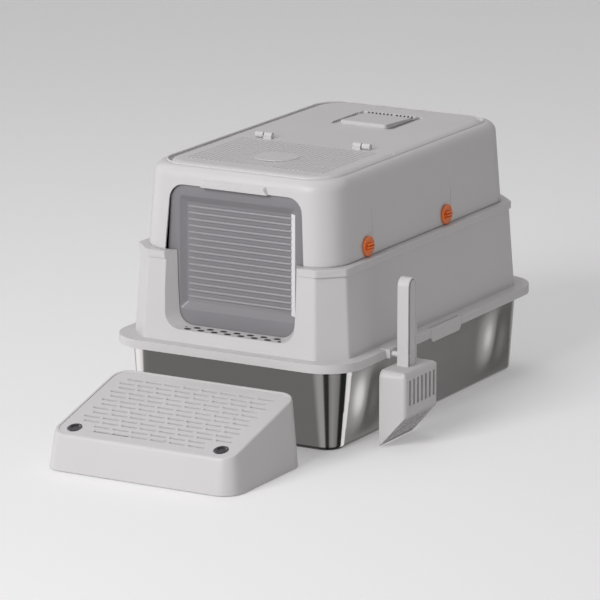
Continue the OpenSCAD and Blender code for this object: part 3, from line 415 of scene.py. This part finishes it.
class LitterBoxSizes(bpy.types.PropertyGroup):
    edge: length("Edge", "Radius on the moulded edges", 0.6, 0.0, 1.2)
    crest_in: length("Crest", "From the flange's edge in to the hood's crest", 61, 40, 80)
    crest_r: length("Crest corner", "Corner radius of the hood's crest", 51, 40, 60)
    crest_z: length("Crest height", "Height of the hood's crest", 419.8, 400, 440)
    crest_w: length("Crest width", "Width of the bead along the hood's crest", 3.0, 1, 5)
    crest_rise: length("Crest rise", "Height of the bead along the hood's crest", 2.2, 1, 6)
    roof_z: length("Roof", "Height of the roof panel", 422, 400, 440)
    comb_gap: length("Comb gap", "From the filter cover back to the comb", 6, 2, 12)
    comb_h: length("Comb height", "How far the comb stands above the roof", 2.6, 1, 5)
    comb_pitch: length("Comb pitch", "From one window of the comb to the next", 7, 5, 9)
    comb_window: length("Comb window", "Width of one window of the comb", 3.4, 2, 5)
    slit_in: length("Right slits", "From the filter cover out to the right slits' middles", 7.6, 5, 12)
    slit_out: length("Left slits", "From the filter cover out to the left slits' middles", 13, 5, 16)
    slit_l: length("Slit", "Length of a slit beside the filter cover", 15, 5, 16)
    slit_w: length("Slit width", "Width of a slit beside the filter cover", 1.3, 1, 3)
    slit_pitch: length("Slit pitch", "From one slit to the next", 5.3, 3, 8)
    line_x: length("Mould line place", "From the middle out to the mould lines", 175.4, 160, 180)
    line_gap: length("Mould line gap", "From a knob back to its mould line", 4, 1, 20)
    line_h: length("Mould line", "Height of a mould line", 44, 20, 60)
    pan_foot_in: length("Pan foot", "How far the pan's foot stands in from its rim", 23.5, 18, 30)
    pan_wall_in: length("Pan wall", "How far the pan's wall stands in from its rim", 12, 8, 14)
    pan_foot_r: length("Pan foot corner", "Corner radius at the pan's foot", 31, 24, 40)
    pan_top_r: length("Pan top corner", "Corner radius at the pan's top", 50, 46, 54)
    pan_bend: length("Pan bend", "Radius of the bend round the pan's floor", 7, 4, 12)
    pan_bulge: length("Pan bulge", "How far the long wall bulges beside a corner", 2.3, 0.0, 3.0)
    pan_lens: length("Pan bulge place", "From the end of the corner to the middle of the bulge", 40, 20, 60)
    pan_reach: length("Pan bulge reach", "How far the bulge reaches each way along the wall", 24, 10, 40)
    sheet: length("Sheet", "Thickness of the pan's steel", 1, 0.8, 1.4)
    slot_x: length("Sill slot", "Length of a slot in the sill", 12, 6, 20)
    slot_y: length("Sill slot width", "Width of a slot in the sill", 7, 3, 10)
    slot_front: length("Sill slot row", "Place of the front row of slots, from the middle", -310, -320, -300)
    knob_t: length("Knob", "Thickness of a knob's disc", 4, 2, 6)
    knob_grip_h: length("Knob grip", "How far the grip stands above the disc", 5, 2, 6)
    knob_grip_l: length("Knob grip length", "Length of the grip across the disc", 19, 10, 30)
    knob_ridge: length("Knob ridge", "Width of one ridge of the grip", 3, 1, 4)
    knob_stem_r: length("Knob stem", "Radius of the knob's stem", 4, 2, 6)
    door_t: length("Door", "Thickness of the swing door", 2.6, 2, 3)
    door_pan: length("Door field depth", "Depth of the ribbed field", 7, 4, 9)
    door_slant: length("Door field edge", "Width of the slanted edge of the field", 10.5, 6, 14)
    field_x: length("Door field", "Half the width of the field's mouth", 103.5, 90, 108)
    field_foot: length("Door field foot", "Height of the foot of the field's mouth", 193, 185, 210)
    field_head: length("Door field head", "Height of the head of the field's mouth", 373.5, 350, 378)
    barrel_x: length("Door barrel", "Half the length of the door's barrel", 56, 30, 60)
    door_lap: length("Door lap", "How far the door reaches behind the hood's wall", 3.4, 0, 5)
    # Width of the near-white strip that is painted highlight on the field's slope
    strip_w: length("Door edge strip", "Width of the frosted edge beside the ribs", 12.2, 4, 13)
    rib_fade: length("Rib run-out", "Length over which a rib fades out at its left end", 22, 5, 40)
    door_rib: length("Door rib", "Height of a rib on the door", 2.6, 1, 4)
    door_rib_w: length("Door rib width", "Width of a rib on the door", 4.0, 2, 5)
    door_ribs: bpy.props.IntProperty(name="Door ribs", description="Number of ribs on the door",
                                     default=15, min=9, max=18)


class LitterBoxColours(bpy.types.PropertyGroup):
    housing: colour_code("Housing", "Plastic of the box", "#D8D5D6")
    inner: colour_code("Inner parts", "Plastic inside the box", "#BDBABB")
    door: colour_code("Swing door", "Plastic of the door", "#8A888C")
    # Lighter than the door: painted highlight on the ribs' crests, which are the door's own plastic
    rib: colour_code("Door ribs", "Plastic of the door's ribs", "#A2A0A4")
    # Near-white painted highlight on the slope beside the door's ribs, not a frosted part
    strip: colour_code("Door edge", "Frosted edge of the door's field", "#F0EEEF")
    knob: colour_code("Knobs", "Plastic of the knobs", "#F47A2C")
    plug: colour_code("Plugs", "Plastic of the plugs", "#4A484B")
    foot: colour_code("Feet", "Rubber of the feet", "#5B595C")
    steel: colour_code("Pan", "Steel of the pan", "#B4B1B0")
    pin: colour_code("Pins", "Steel of the pins", "#C4C4C6")
    slit: colour_code("Slits", "Shaded floor of the vent's slits", "#77757A")
    # Painted shade: the dark grey of the vent's windows and the sill's slots
    shade: colour_code("Vent", "Mesh behind the vent", "#3C3A3D")
    carbon: colour_code("Filter", "Felt of the filter", "#232325")


# Steel pan

def bulged(bm, bulge, top, half_x, at_y, reach):
    """Adds the slow bulge that deep drawing leaves on the long walls beside each corner."""
    # Planes a tenth of the reach apart, over 2.8 reaches each way
    spacing, planes = 0.1, 28
    for side in (-1, 1):
        for k in range(-planes, planes + 1):
            cut_across(bm, (0, side * (at_y + spacing * k * reach), 0), (0, 1, 0))
    low, waist = 12 * MM, 1.3
    for vert in bm.verts:
        if abs(vert.co.x) > half_x and low < vert.co.z < top:
            up = math.sin(math.pi * (vert.co.z - low) / (top - low)) ** waist
            off = (abs(vert.co.y) - at_y) / reach
            vert.co.x += math.copysign(bulge * up * math.exp(-off * off / 2), vert.co.x)


class LITTERBOX_OT_pan(bpy.types.Operator):
    """Draw the steel pan: one sheet from its floor over the bend and the wall to the rolled rim"""
    bl_idname = "litterbox.pan"
    bl_label = "Steel pan"

    def execute(self, context):
        size = context.scene.litter_box_sizes
        rim = highest("steel_pan")
        foot_x, foot_y = rim.x - size.pan_foot_in, rim.y - size.pan_foot_in
        top_x, top_y = rim.x - size.pan_wall_in, rim.y - size.pan_wall_in
        r0, r1, b = size.pan_foot_r, size.pan_top_r, size.pan_bend
        # The bend round the floor
        rings = []
        for k in range(7):
            a = math.radians(15 * k)
            step_in = b * (1 - math.sin(a))
            rings.append((foot_x - step_in, foot_y - step_in, r0 - step_in, b * (1 - math.cos(a))))
        # The wall, with two close rings first that keep the bend's shading off it
        turn_r = 2.5 * MM
        wall_top = rim.z - size.sheet - turn_r
        wall_steps = 36
        rises = [0.6 * MM, 2 * MM] + [(wall_top - b) * k / wall_steps for k in range(1, wall_steps + 1)]
        for rise in rises:
            z = b + rise
            share = rise / (wall_top - b)
            rings.append((foot_x + (top_x - foot_x) * share, foot_y + (top_y - foot_y) * share,
                          r0 + (r1 - r0) * share, z))
        # The turn outwards, and the rim turned down at its edge
        last = rings[-1]
        for k in range(1, 4):
            a = math.radians(30 * k)
            out = turn_r * (1 - math.cos(a))
            rings.append((last[0] + out, last[1] + out, last[2] + out, last[3] + turn_r * math.sin(a)))
        r_rim = r1 + size.pan_wall_in
        for inwards, down in ((1.2, 0.0), (0.3, 0.5), (0.0, 1.4), (0.0, 4.0)):
            edge = size.sheet + inwards * MM
            rings.append((rim.x - edge, rim.y - edge, r_rim - edge, rim.z - size.sheet - down * MM))
        bm = bmesh.new()
        stack(bm, rings, 16)
        bulge_top, beyond = rim.z - 16 * MM, foot_x - 8 * MM
        bulged(bm, size.pan_bulge, bulge_top, beyond, foot_y - r1 - size.pan_lens, size.pan_reach)
        bmesh.ops.recalc_face_normals(bm, faces=bm.faces)
        lowest_face = min(bm.faces, key=lambda f: f.calc_center_median().z)
        if lowest_face.normal.z > 0:
            bmesh.ops.reverse_faces(bm, faces=bm.faces)
        bmesh.ops.solidify(bm, geom=bm.faces[:], thickness=size.sheet)
        piece = shown("pan_drawn", bm, "steel_pan", "steel", sharp=50, flats=False)
        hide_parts("steel_pan")
        return {"FINISHED"}


# Surround

# Box round the entry's thin sill, whose edges stay crisp
SILL = ((-0.13, -0.34, 0.150), (0.13, -0.285, 0.172))


def sill_slot_shade(bm, size):
    """Two staggered rows of dark oval discs that lie on the entry's sloping sill: painted shade in the
    sill's slots.
    """
    # The sill climbs 3 mm over the 31 mm from its front edge
    front, climb, run = -322 * MM, 3 * MM, 31 * MM
    tilt = Matrix.Rotation(0.096, 3, "X")
    pitch, row_gap, aside, thick = 24 * MM, 9 * MM, 6 * MM, 0.6 * MM
    for row in (0, 1):
        for k in range(-4, 5 - row):
            disc = bmesh.ops.create_cone(bm, cap_ends=True, segments=24, radius1=1, radius2=1,
                                         depth=1)["verts"]
            bmesh.ops.scale(bm, verts=disc, vec=(size.slot_x / 2, size.slot_y / 2, thick))
            bmesh.ops.rotate(bm, verts=disc, cent=(0, 0, 0), matrix=tilt)
            x = pitch * (k + row / 2) - aside
            y = size.slot_front + row_gap * row
            z = lowest("door_flap").z + climb * (y - front) / run
            bmesh.ops.translate(bm, verts=disc, vec=(x, y, z))


class LITTERBOX_OT_surround(bpy.types.Operator):
    """Finish the plastic surround with its flange, lip and entry lining"""
    bl_idname = "litterbox.surround"
    bl_label = "Surround"

    def execute(self, context):
        size = context.scene.litter_box_sizes
        bm = merged("surround")
        soften(bm, size.edge, crisp=SILL)
        piece = shown("surround_moulded", bm, "surround", "housing")
        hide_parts("surround")
        bm = bmesh.new()
        sill_slot_shade(bm, size)
        shown("sill_slot_shade", bm, "surround", "shade")
        return {"FINISHED"}


# Hood

HOOD_LEAN = math.radians(3.23)


def bead(bm, half_x, half_y, radius, z, width, rise):
    """A rounded bead that runs round a rounded outline."""
    arc = [math.pi * k / 6 for k in range(7)]
    rings = [(half_x + width / 2 * math.cos(a), half_y + width / 2 * math.cos(a),
              radius + width / 2 * math.cos(a), z + rise * math.sin(a)) for a in arc]
    border = rounded_face(bm, *rings[0], 14)
    bmesh.ops.delete(bm, geom=list(border[0].link_faces), context="FACES_ONLY")
    for old, new in zip(rings, rings[1:]):
        border = next_ring(bm, border, old, new)


def mould_lines(bm, size):
    """The faint upright line that the tool's slide leaves behind each knob."""
    half_deep, half_wide, below_top = 0.4 * MM, 0.5 * MM, 6 * MM
    for place in KNOB_PLACES:
        knob_top = highest("knob_" + place)
        side = 1.0 if place.endswith("right") else -1.0
        foot = Vector((side * size.line_x, knob_top.y + size.line_gap, knob_top.z - below_top))
        made = bar(bm, (-half_deep, -half_wide, 0), (half_deep, half_wide, size.line_h), 0.25 * MM, 2)
        lean = Matrix.Rotation(-side * HOOD_LEAN, 3, "Y")
        bmesh.ops.rotate(bm, verts=made, cent=(0, 0, 0), matrix=lean)
        bmesh.ops.translate(bm, verts=made, vec=foot)


def comb_places(size):
    """Middles of the vent's twelve windows; the gap after the seventh is wider."""
    count, before_gap, shift = 12, 7, 1.5 * MM
    return [size.comb_pitch * (k - (count - 1) / 2) + (-shift if k < before_gap else shift)
            for k in range(count)]


def vent_comb(bm, size):
    """The upstand behind the filter cover, with a tooth between each two windows."""
    cover = highest("filter_cover")
    back = cover.y + size.comb_gap
    foot, top = size.roof_z - 1 * MM, size.roof_z + size.comb_h
    reach = cover.x + 5 * MM
    # The upstand's wall, 2.4 mm thick, and the teeth before it, a little lower
    bar(bm, (-reach, back + 2 * MM, foot), (reach, back + 4.4 * MM, top), 0.5 * MM, 2)
    tooth_top = top - 0.4 * MM
    places = comb_places(size)
    places = [places[0] - size.comb_pitch] + places + [places[-1] + size.comb_pitch]
    for a, b in zip(places, places[1:]):
        half = (b - a) / 2 - size.comb_window / 2
        middle = (a + b) / 2
        if abs(middle) < reach - half:
            bar(bm, (middle - half, back, foot), (middle + half, back + 3 * MM, tooth_top), 0.4 * MM, 2)


def vent_window_shade(bm, size):
    """Dark plates in the comb's windows: painted shade for the dark inside of the vent seen through them."""
    front = highest("filter_cover").y + size.comb_gap + 1.6 * MM
    foot, top = size.roof_z - 0.5 * MM, size.roof_z + size.comb_h - 0.7 * MM
    half, thick = size.comb_window / 2, 0.6 * MM
    for x in comb_places(size):
        bar(bm, (x - half, front, foot), (x + half, front + thick, top), 0.1 * MM, 1)


def vent_slits(bm, size):
    """Grey bars just proud of the roof on both sides of the filter cover: painted shade for the floors of
    narrow slanted slits.
    """
    cover_lo, cover_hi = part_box("filter_cover")
    count, slant, first = 16, 0.46, cover_lo.y + 3 * MM
    sunk, proud = 0.3 * MM, 0.12 * MM
    half_w, half_l = size.slit_w / 2, size.slit_l / 2
    for side, out in ((-1, size.slit_out), (1, size.slit_in)):
        turn = Matrix.Rotation(-side * slant, 3, "Z")
        for k in range(count):
            at = (side * (cover_hi.x + out), first + k * size.slit_pitch, size.roof_z)
            made = bar(bm, (-half_w, -half_l, -sunk), (half_w, half_l, proud), 0.05 * MM, 1)
            bmesh.ops.rotate(bm, verts=made, cent=(0, 0, 0), matrix=turn)
            bmesh.ops.translate(bm, verts=made, vec=at)


class LITTERBOX_OT_hood(bpy.types.Operator):
    """Finish the hood with its crest, mould lines and vent"""
    bl_idname = "litterbox.hood"
    bl_label = "Hood"

    def execute(self, context):
        size = context.scene.litter_box_sizes
        bm = merged("hood")
        soften(bm, size.edge)
        flange = highest("surround")
        bead(bm, flange.x - size.crest_in, flange.y - size.crest_in, size.crest_r, size.crest_z,
             size.crest_w, size.crest_rise)
        mould_lines(bm, size)
        vent_comb(bm, size)
        piece = shown("hood_moulded", bm, "hood", "housing")
        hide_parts("hood")
        bm = bmesh.new()
        vent_window_shade(bm, size)
        shown("vent_window_shade", bm, "hood", "shade")
        bm = bmesh.new()
        vent_slits(bm, size)
        shown("vent_slits", bm, "hood", "slit")
        return {"FINISHED"}


# Flip lid

class LITTERBOX_OT_lid(bpy.types.Operator):
    """Finish the ribbed flip lid and its two hinge pins"""
    bl_idname = "litterbox.lid"
    bl_label = "Flip lid"

    def execute(self, context):
        dressed("roof_lid", "housing", radius=0.4 * MM)
        for side in ("left", "right"):
            dressed("lid_pin_" + side, "pin", radius=0.3 * MM)
        return {"FINISHED"}


# Swing door, whose pieces are drawn flat: X across, Y up from the plate's middle, Z to the front

class DoorPlan:
    """Where the door's parts lie on the flat drawing."""

    def __init__(self, size):
        lo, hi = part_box("door_flap")
        # The plate ends this far under the barrel's top, before it laps behind the hood's wall
        under_barrel = 9.7 * MM
        self.head = hi.z - under_barrel + size.door_lap
        self.face, self.top = lo.y, hi.z
        self.middle = Vector((0, lo.y, (lo.z + self.head) / 2))
        self.half_x, self.half_z = hi.x, (self.head - lo.z) / 2
        self.mouth_x, self.mouth_z = size.field_x, (size.field_head - size.field_foot) / 2
        self.floor_x, self.floor_z = self.mouth_x - size.door_slant, self.mouth_z - size.door_slant
        self.slip = (size.field_head + size.field_foot) / 2 - self.middle.z
        self.seam = lowest("hood").z - self.middle.z


def upright(bm, at):
    """Stands a flat drawing up on its foot, at a place: +Y goes to +Z and +Z to -Y."""
    bmesh.ops.rotate(bm, verts=bm.verts, cent=(0, 0, 0), matrix=Matrix.Rotation(math.pi / 2, 3, "X"))
    bmesh.ops.translate(bm, verts=bm.verts, vec=at)


def door_plate(bm, plan, size):
    """The plate: the field's floor, its slanted edge and the margin round it."""
    floor_x, floor_z, mouth_x, mouth_z = plan.floor_x, plan.floor_z, plan.mouth_x, plan.mouth_z
    deep = size.door_pan
    rings = [(floor_x, floor_z, 2 * MM, -deep),
             (floor_x + 1 * MM, floor_z + 1 * MM, 3 * MM, 0.4 * MM - deep),
             (mouth_x - 1 * MM, mouth_z - 1 * MM, 5 * MM, -0.8 * MM),
             (mouth_x, mouth_z, 6 * MM, -0.2 * MM),
             (mouth_x + 1.2 * MM, mouth_z + 1.2 * MM, 7 * MM, 0)]
    border = stack(bm, rings, 6)
    bmesh.ops.translate(bm, verts=bm.verts[:], vec=(0, plan.slip, 0))
    # The margin's lower corners are rounder than its upper ones
    rounder = 14 * MM
    inner = rings[-1]
    outline = [(plan.half_x - 1 * MM, plan.half_z - 1 * MM, 22 * MM, 0),
               (plan.half_x - 0.3 * MM, plan.half_z - 0.3 * MM, 22.7 * MM, -0.3 * MM),
               (plan.half_x, plan.half_z, 23 * MM, -1 * MM)]
    for old, new in zip([inner] + outline, outline):
        grown = bmesh.ops.extrude_edge_only(bm, edges=border)["geom"]
        for vert in (g for g in grown if isinstance(g, bmesh.types.BMVert)):
            if old is inner:
                vert.co.y -= plan.slip
            upper = vert.co.y > 0
            old_r = old[2] if upper or old is inner else old[2] + rounder
            new_r = new[2] if upper else new[2] + rounder
            for axis in (0, 1):
                side = 1.0 if vert.co[axis] > 0 else -1.0
                turn = (side * vert.co[axis] - old[axis] + old_r) / old_r
                vert.co[axis] = side * (new[axis] - new_r + new_r * turn)
            vert.co.z = new[3]
        border = [g for g in grown if isinstance(g, bmesh.types.BMEdge)]
    # Above the seam the margin laps behind the hood's wall; it narrows to the head and to the foot
    seam, step = plan.seam, 6 * MM
    for level in (seam - 60 * MM, seam - step, seam, seam + 45 * MM):
        cut_across(bm, (0, level, 0), (0, 1, 0))
    narrower_head, narrower_foot = 6.6 * MM, 6 * MM
    for vert in bm.verts:
        if abs(vert.co.x) > mouth_x + 2 * MM:
            above = vert.co.y - seam
            up = above / (plan.half_z - seam) if above > 0 else 0.0
            behind = min(max((above + step) / step, 0.0), 1.0)
            vert.co.x += math.copysign(size.door_lap * behind, vert.co.x)
            down = above / (-plan.half_z - seam) if above < 0 else 0.0
            vert.co.x -= math.copysign(narrower_head * up + narrower_foot * down ** 2, vert.co.x)
    bmesh.ops.recalc_face_normals(bm, faces=bm.faces)
    if max(bm.faces, key=lambda f: f.calc_area()).normal.z < 0:
        bmesh.ops.reverse_faces(bm, faces=bm.faces)
    bmesh.ops.solidify(bm, geom=bm.faces[:], thickness=size.door_t)


def door_barrel(bm, plan, size):
    """The barrel along the standing door's top edge, and the neck that joins it to the plate."""
    radius = 3.2 * MM
    axis = Vector((0, plan.face + radius, plan.top - radius))
    barrel = bmesh.ops.create_cone(bm, cap_ends=True, segments=40, radius1=radius, radius2=radius,
                                   depth=2 * size.barrel_x)["verts"]
    bmesh.ops.rotate(bm, verts=barrel, cent=(0, 0, 0), matrix=Matrix.Rotation(math.pi / 2, 3, "Y"))
    bmesh.ops.translate(bm, verts=barrel, vec=axis)
    bar(bm, (-size.barrel_x, plan.face, plan.head - 3 * MM),
        (size.barrel_x, plan.face + size.door_t, axis.z), 0.5 * MM, 2)


def rib_rows(bm, plan, size):
    """Fine round-topped ribs across the field, which run out into it on the left."""
    foot_room, head_room, sunk, past = 3.5 * MM, 1.5 * MM, 0.8 * MM, 1.5 * MM
    pitch = (2 * plan.floor_z - foot_room - head_room) / size.door_ribs
    rise, half, deep = size.door_rib, size.door_rib_w / 2, size.door_pan
    for k in range(size.door_ribs):
        at = plan.slip - plan.floor_z + foot_room + pitch * (k + 0.5)
        bar(bm, (0.6 * MM - plan.floor_x, at - half, -deep - sunk),
            (plan.floor_x + past, at + half, rise - deep), half * 0.9, 4)
    for share in (0.25, 0.5, 0.75, 1.0):
        cut_across(bm, (share * size.rib_fade - plan.floor_x, 0, 0), (1, 0, 0))
    for vert in bm.verts:
        into = max(vert.co.x + plan.floor_x, 0.0) / size.rib_fade
        if into < 1.0:
            vert.co.z -= (rise - 0.3 * MM) * (1.0 - into) ** 1.5


def painted_highlight_strip(bm, plan, size):
    """A near-white strip on the field's right-hand slope, where the ribs' ends meet it: painted highlight
    for the light that the slope catches.
    """
    half_w, half_l, half_t = size.strip_w / 2, plan.floor_z + 1 * MM, 0.5 * MM
    bar(bm, (-half_w, -half_l, -half_t), (half_w, half_l, half_t), 0.45 * MM, 3)
    slope = math.atan2(size.door_pan, size.door_slant)
    bmesh.ops.rotate(bm, verts=bm.verts, cent=(0, 0, 0), matrix=Matrix.Rotation(-slope, 3, "Y"))
    at = ((plan.floor_x + plan.mouth_x) / 2, plan.slip, -size.door_pan / 2)
    bmesh.ops.translate(bm, verts=bm.verts, vec=at)


class LITTERBOX_OT_door(bpy.types.Operator):
    """Model the swing door: a plate with a sunk field of fine ribs, hung on a barrel and a rod"""
    bl_idname = "litterbox.door"
    bl_label = "Swing door"

    def execute(self, context):
        size = context.scene.litter_box_sizes
        plan = DoorPlan(size)
        bm = bmesh.new()
        door_plate(bm, plan, size)
        upright(bm, plan.middle)
        door_barrel(bm, plan, size)
        piece = shown("door_moulded", bm, "door_flap", "door", sharp=42, flats=False)
        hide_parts("door_flap")
        bm = bmesh.new()
        rib_rows(bm, plan, size)
        upright(bm, plan.middle)
        # The ribs take the lighter grey: painted highlight along their crests
        shown("door_ribs", bm, "door_flap", "rib", sharp=60, flats=False)
        # The near-white strip is painted highlight on the field's right-hand slope
        bm = bmesh.new()
        painted_highlight_strip(bm, plan, size)
        upright(bm, plan.middle)
        shown("door_painted_highlight_strip", bm, "door_flap", "strip", sharp=60)
        dressed("door_rod", "pin", radius=0.3 * MM)
        return {"FINISHED"}


# Turn knobs, latches, filter, scoop and step

def turn_knob(place, size):
    """A turn knob: a crowned disc on its stem, with a grip of three ridges across it."""
    name = "knob_" + place
    lo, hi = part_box(name)
    side = 1.0 if place.endswith("right") else -1.0
    disc_r = (hi.z - lo.z) / 2
    outer = hi.x if side > 0 else -lo.x
    inner = lo.x if side > 0 else -hi.x
    top = outer - size.knob_grip_h
    bm = bmesh.new()
    lathe(bm, [(0, inner), (size.knob_stem_r, inner), (size.knob_stem_r, top - size.knob_t),
               (disc_r - 0.8 * MM, top - size.knob_t), (disc_r, top - size.knob_t + 0.8 * MM),
               (disc_r, top - 1.2 * MM), (disc_r - 0.4 * MM, top - 0.3 * MM), (disc_r - 1.4 * MM, top),
               (disc_r - 3 * MM, top), (disc_r - 3.6 * MM, top - 0.5 * MM), (0, top - 0.5 * MM)])
    # The middle ridge is longer and higher than the two beside it
    pitch, half_ridge, sunk = size.knob_ridge * 1.5, size.knob_ridge / 2, 1 * MM
    for k, shorter, lower in ((-1, 1.5 * MM, 0.8 * MM), (0, 0, 0), (1, 1.5 * MM, 0.8 * MM)):
        reach = size.knob_grip_l / 2 - shorter
        bar(bm, (k * pitch - half_ridge, -reach, top - sunk),
            (k * pitch + half_ridge, reach, outer - lower), 0.7 * MM, 2)
    tilt = Matrix.Rotation(side * (math.pi / 2), 3, "Y")
    bmesh.ops.rotate(bm, verts=bm.verts, cent=(0, 0, 0), matrix=tilt)
    bmesh.ops.translate(bm, verts=bm.verts, vec=(0, (lo.y + hi.y) / 2, (lo.z + hi.z) / 2))
    piece = shown(name + "_moulded", bm, name, "knob")
    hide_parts(name)


class LITTERBOX_OT_knobs(bpy.types.Operator):
    """Finish the four turn knobs and the cams inside the hood"""
    bl_idname = "litterbox.knobs"
    bl_label = "Turn knobs"

    def execute(self, context):
        for place in KNOB_PLACES:
            turn_knob(place, context.scene.litter_box_sizes)
            dressed("cam_" + place, "inner")
        return {"FINISHED"}


class LITTERBOX_OT_latches(bpy.types.Operator):
    """Finish the two side latches and their pins"""
    bl_idname = "litterbox.latches"
    bl_label = "Side latches"

    def execute(self, context):
        for side in ("right", "left"):
            dressed("latch_" + side, "housing")
            dressed("latch_pin_" + side, "pin", radius=0.2 * MM)
        return {"FINISHED"}


class LITTERBOX_OT_filter(bpy.types.Operator):
    """Finish the roof filter: its cover, its basket and the carbon pad"""
    bl_idname = "litterbox.filter"
    bl_label = "Roof filter"

    def execute(self, context):
        dressed("filter_cover", "housing")
        dressed("filter_basket", "inner", radius=0.4 * MM)
        lo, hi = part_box("carbon_filter")
        bm = bmesh.new()
        bar(bm, lo, hi, 3 * MM)
        pad = shown("carbon_pad", bm, "carbon_filter", "carbon")
        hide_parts("carbon_filter")
        return {"FINISHED"}


class LITTERBOX_OT_scoop(bpy.types.Operator):
    """Finish the scoop and the hook that it hangs from"""
    bl_idname = "litterbox.scoop"
    bl_label = "Scoop and hook"

    def execute(self, context):
        # The pan mirrors the room alone, so neither shows in the steel
        dressed("scoop", "housing", radius=0.0).visible_glossy = False
        dressed("scoop_hook", "housing").visible_glossy = False
        return {"FINISHED"}


class LITTERBOX_OT_step(bpy.types.Operator):
    """Finish the step: its tray, slotted tread, plugs and feet"""
    bl_idname = "litterbox.step"
    bl_label = "Step"

    def execute(self, context):
        # As with the scoop, none of it shows in the steel
        dressed("step_base", "housing").visible_glossy = False
        dressed("step_grate", "housing", radius=0.35 * MM).visible_glossy = False
        dressed("step_plugs", "plug", radius=0.4 * MM).visible_glossy = False
        dressed("step_feet", "foot", radius=0.4 * MM).visible_glossy = False
        return {"FINISHED"}


# Stage

def take_view(scene):
    """A long lens on the entry corner, low and to the right of the front."""
    right_of_front, above_level = math.radians(29.6), math.radians(13.8)
    distance, aside, rise = 7.6291, -0.0475, 0.1513
    level = math.cos(above_level)
    back = Vector((math.sin(right_of_front) * level, -math.cos(right_of_front) * level,
                   math.sin(above_level)))
    right = Vector((math.cos(right_of_front), math.sin(right_of_front), 0.0))
    up = back.cross(right)
    data = bpy.data.cameras.new("camera")
    data.sensor_width = 36.0
    data.lens = 283.2
    data.shift_x = 0.002
    data.clip_end = 50.0
    camera = bpy.data.objects.new("camera", data)
    turn = Matrix((right, up, back)).transposed().to_4x4()
    camera.matrix_world = Matrix.Translation(back * distance + right * aside + up * rise) @ turn
    scene.collection.objects.link(camera)
    scene.camera = camera


def soft_box(scene, name, place, target, size, energy):
    """A square lamp that faces its target."""
    lamp = bpy.data.lights.new(name, "AREA")
    lamp.shape = "SQUARE"
    lamp.size = size
    lamp.energy = energy
    light = bpy.data.objects.new(name, lamp)
    light.location = place
    aim = Vector(target) - light.location
    light.rotation_euler = aim.to_track_quat("-Z", "Y").to_euler()
    scene.collection.objects.link(light)


class LITTERBOX_OT_stage(bpy.types.Operator):
    """Set the camera, the floor, the room and the lamps"""
    bl_idname = "litterbox.stage"
    bl_label = "Stage"

    def execute(self, context):
        scene = context.scene
        scene.view_settings.view_transform = "Standard"
        take_view(scene)
        bm = bmesh.new()
        bmesh.ops.create_grid(bm, x_segments=1, y_segments=1, size=4.0)
        mesh = bpy.data.meshes.new("floor")
        bm.to_mesh(mesh)
        bm.free()
        floor = bpy.data.objects.new("floor", mesh)
        scene.collection.objects.link(floor)
        # The pan mirrors the room alone
        floor.visible_glossy = False
        mesh.materials.append(pale_floor())
        scene.world = studio_world()
        # The key stands at the front left; the overhead bank draws the edges and the roof
        soft_box(scene, "key", (-0.6, -4.6, 2.5), (0, -0.1, 0.2), 2.2, 152.0)
        soft_box(scene, "overhead", (-0.3, 0.5, 2.9), (0, 0, 0.2), 1.6, 12.0)
        return {"FINISHED"}


class LITTERBOX_PT_pieces(bpy.types.Panel):
    """Sizes, colours and one button for each group of pieces"""
    bl_idname = "LITTERBOX_PT_pieces"
    bl_label = "Litter box"
    bl_space_type = "VIEW_3D"
    bl_region_type = "UI"
    bl_category = "Litter box"

    def draw(self, context):
        for group in (context.scene.litter_box_sizes, context.scene.litter_box_colours):
            box = self.layout.box()
            for key in group.__annotations__:
                box.prop(group, key)
        for operator in OPERATORS:
            self.layout.operator(operator.bl_idname)


OPERATORS = (LITTERBOX_OT_pan, LITTERBOX_OT_surround, LITTERBOX_OT_hood, LITTERBOX_OT_lid,
             LITTERBOX_OT_door, LITTERBOX_OT_knobs, LITTERBOX_OT_latches, LITTERBOX_OT_filter,
             LITTERBOX_OT_scoop, LITTERBOX_OT_step, LITTERBOX_OT_stage)
CLASSES = (LitterBoxSizes, LitterBoxColours, LITTERBOX_PT_pieces) + OPERATORS


def register():
    for cls in CLASSES:
        bpy.utils.register_class(cls)
    bpy.types.Scene.litter_box_sizes = bpy.props.PointerProperty(type=LitterBoxSizes)
    bpy.types.Scene.litter_box_colours = bpy.props.PointerProperty(type=LitterBoxColours)


def unregister():
    del bpy.types.Scene.litter_box_colours
    del bpy.types.Scene.litter_box_sizes
    for cls in reversed(CLASSES):
        bpy.utils.unregister_class(cls)


def main():
    register()
    bpy.ops.litterbox.pan()
    bpy.ops.litterbox.surround()
    bpy.ops.litterbox.hood()
    bpy.ops.litterbox.lid()
    bpy.ops.litterbox.door()
    bpy.ops.litterbox.knobs()
    bpy.ops.litterbox.latches()
    bpy.ops.litterbox.filter()
    bpy.ops.litterbox.scoop()
    bpy.ops.litterbox.step()
    bpy.ops.litterbox.stage()


if __name__ == "__main__":
    main()
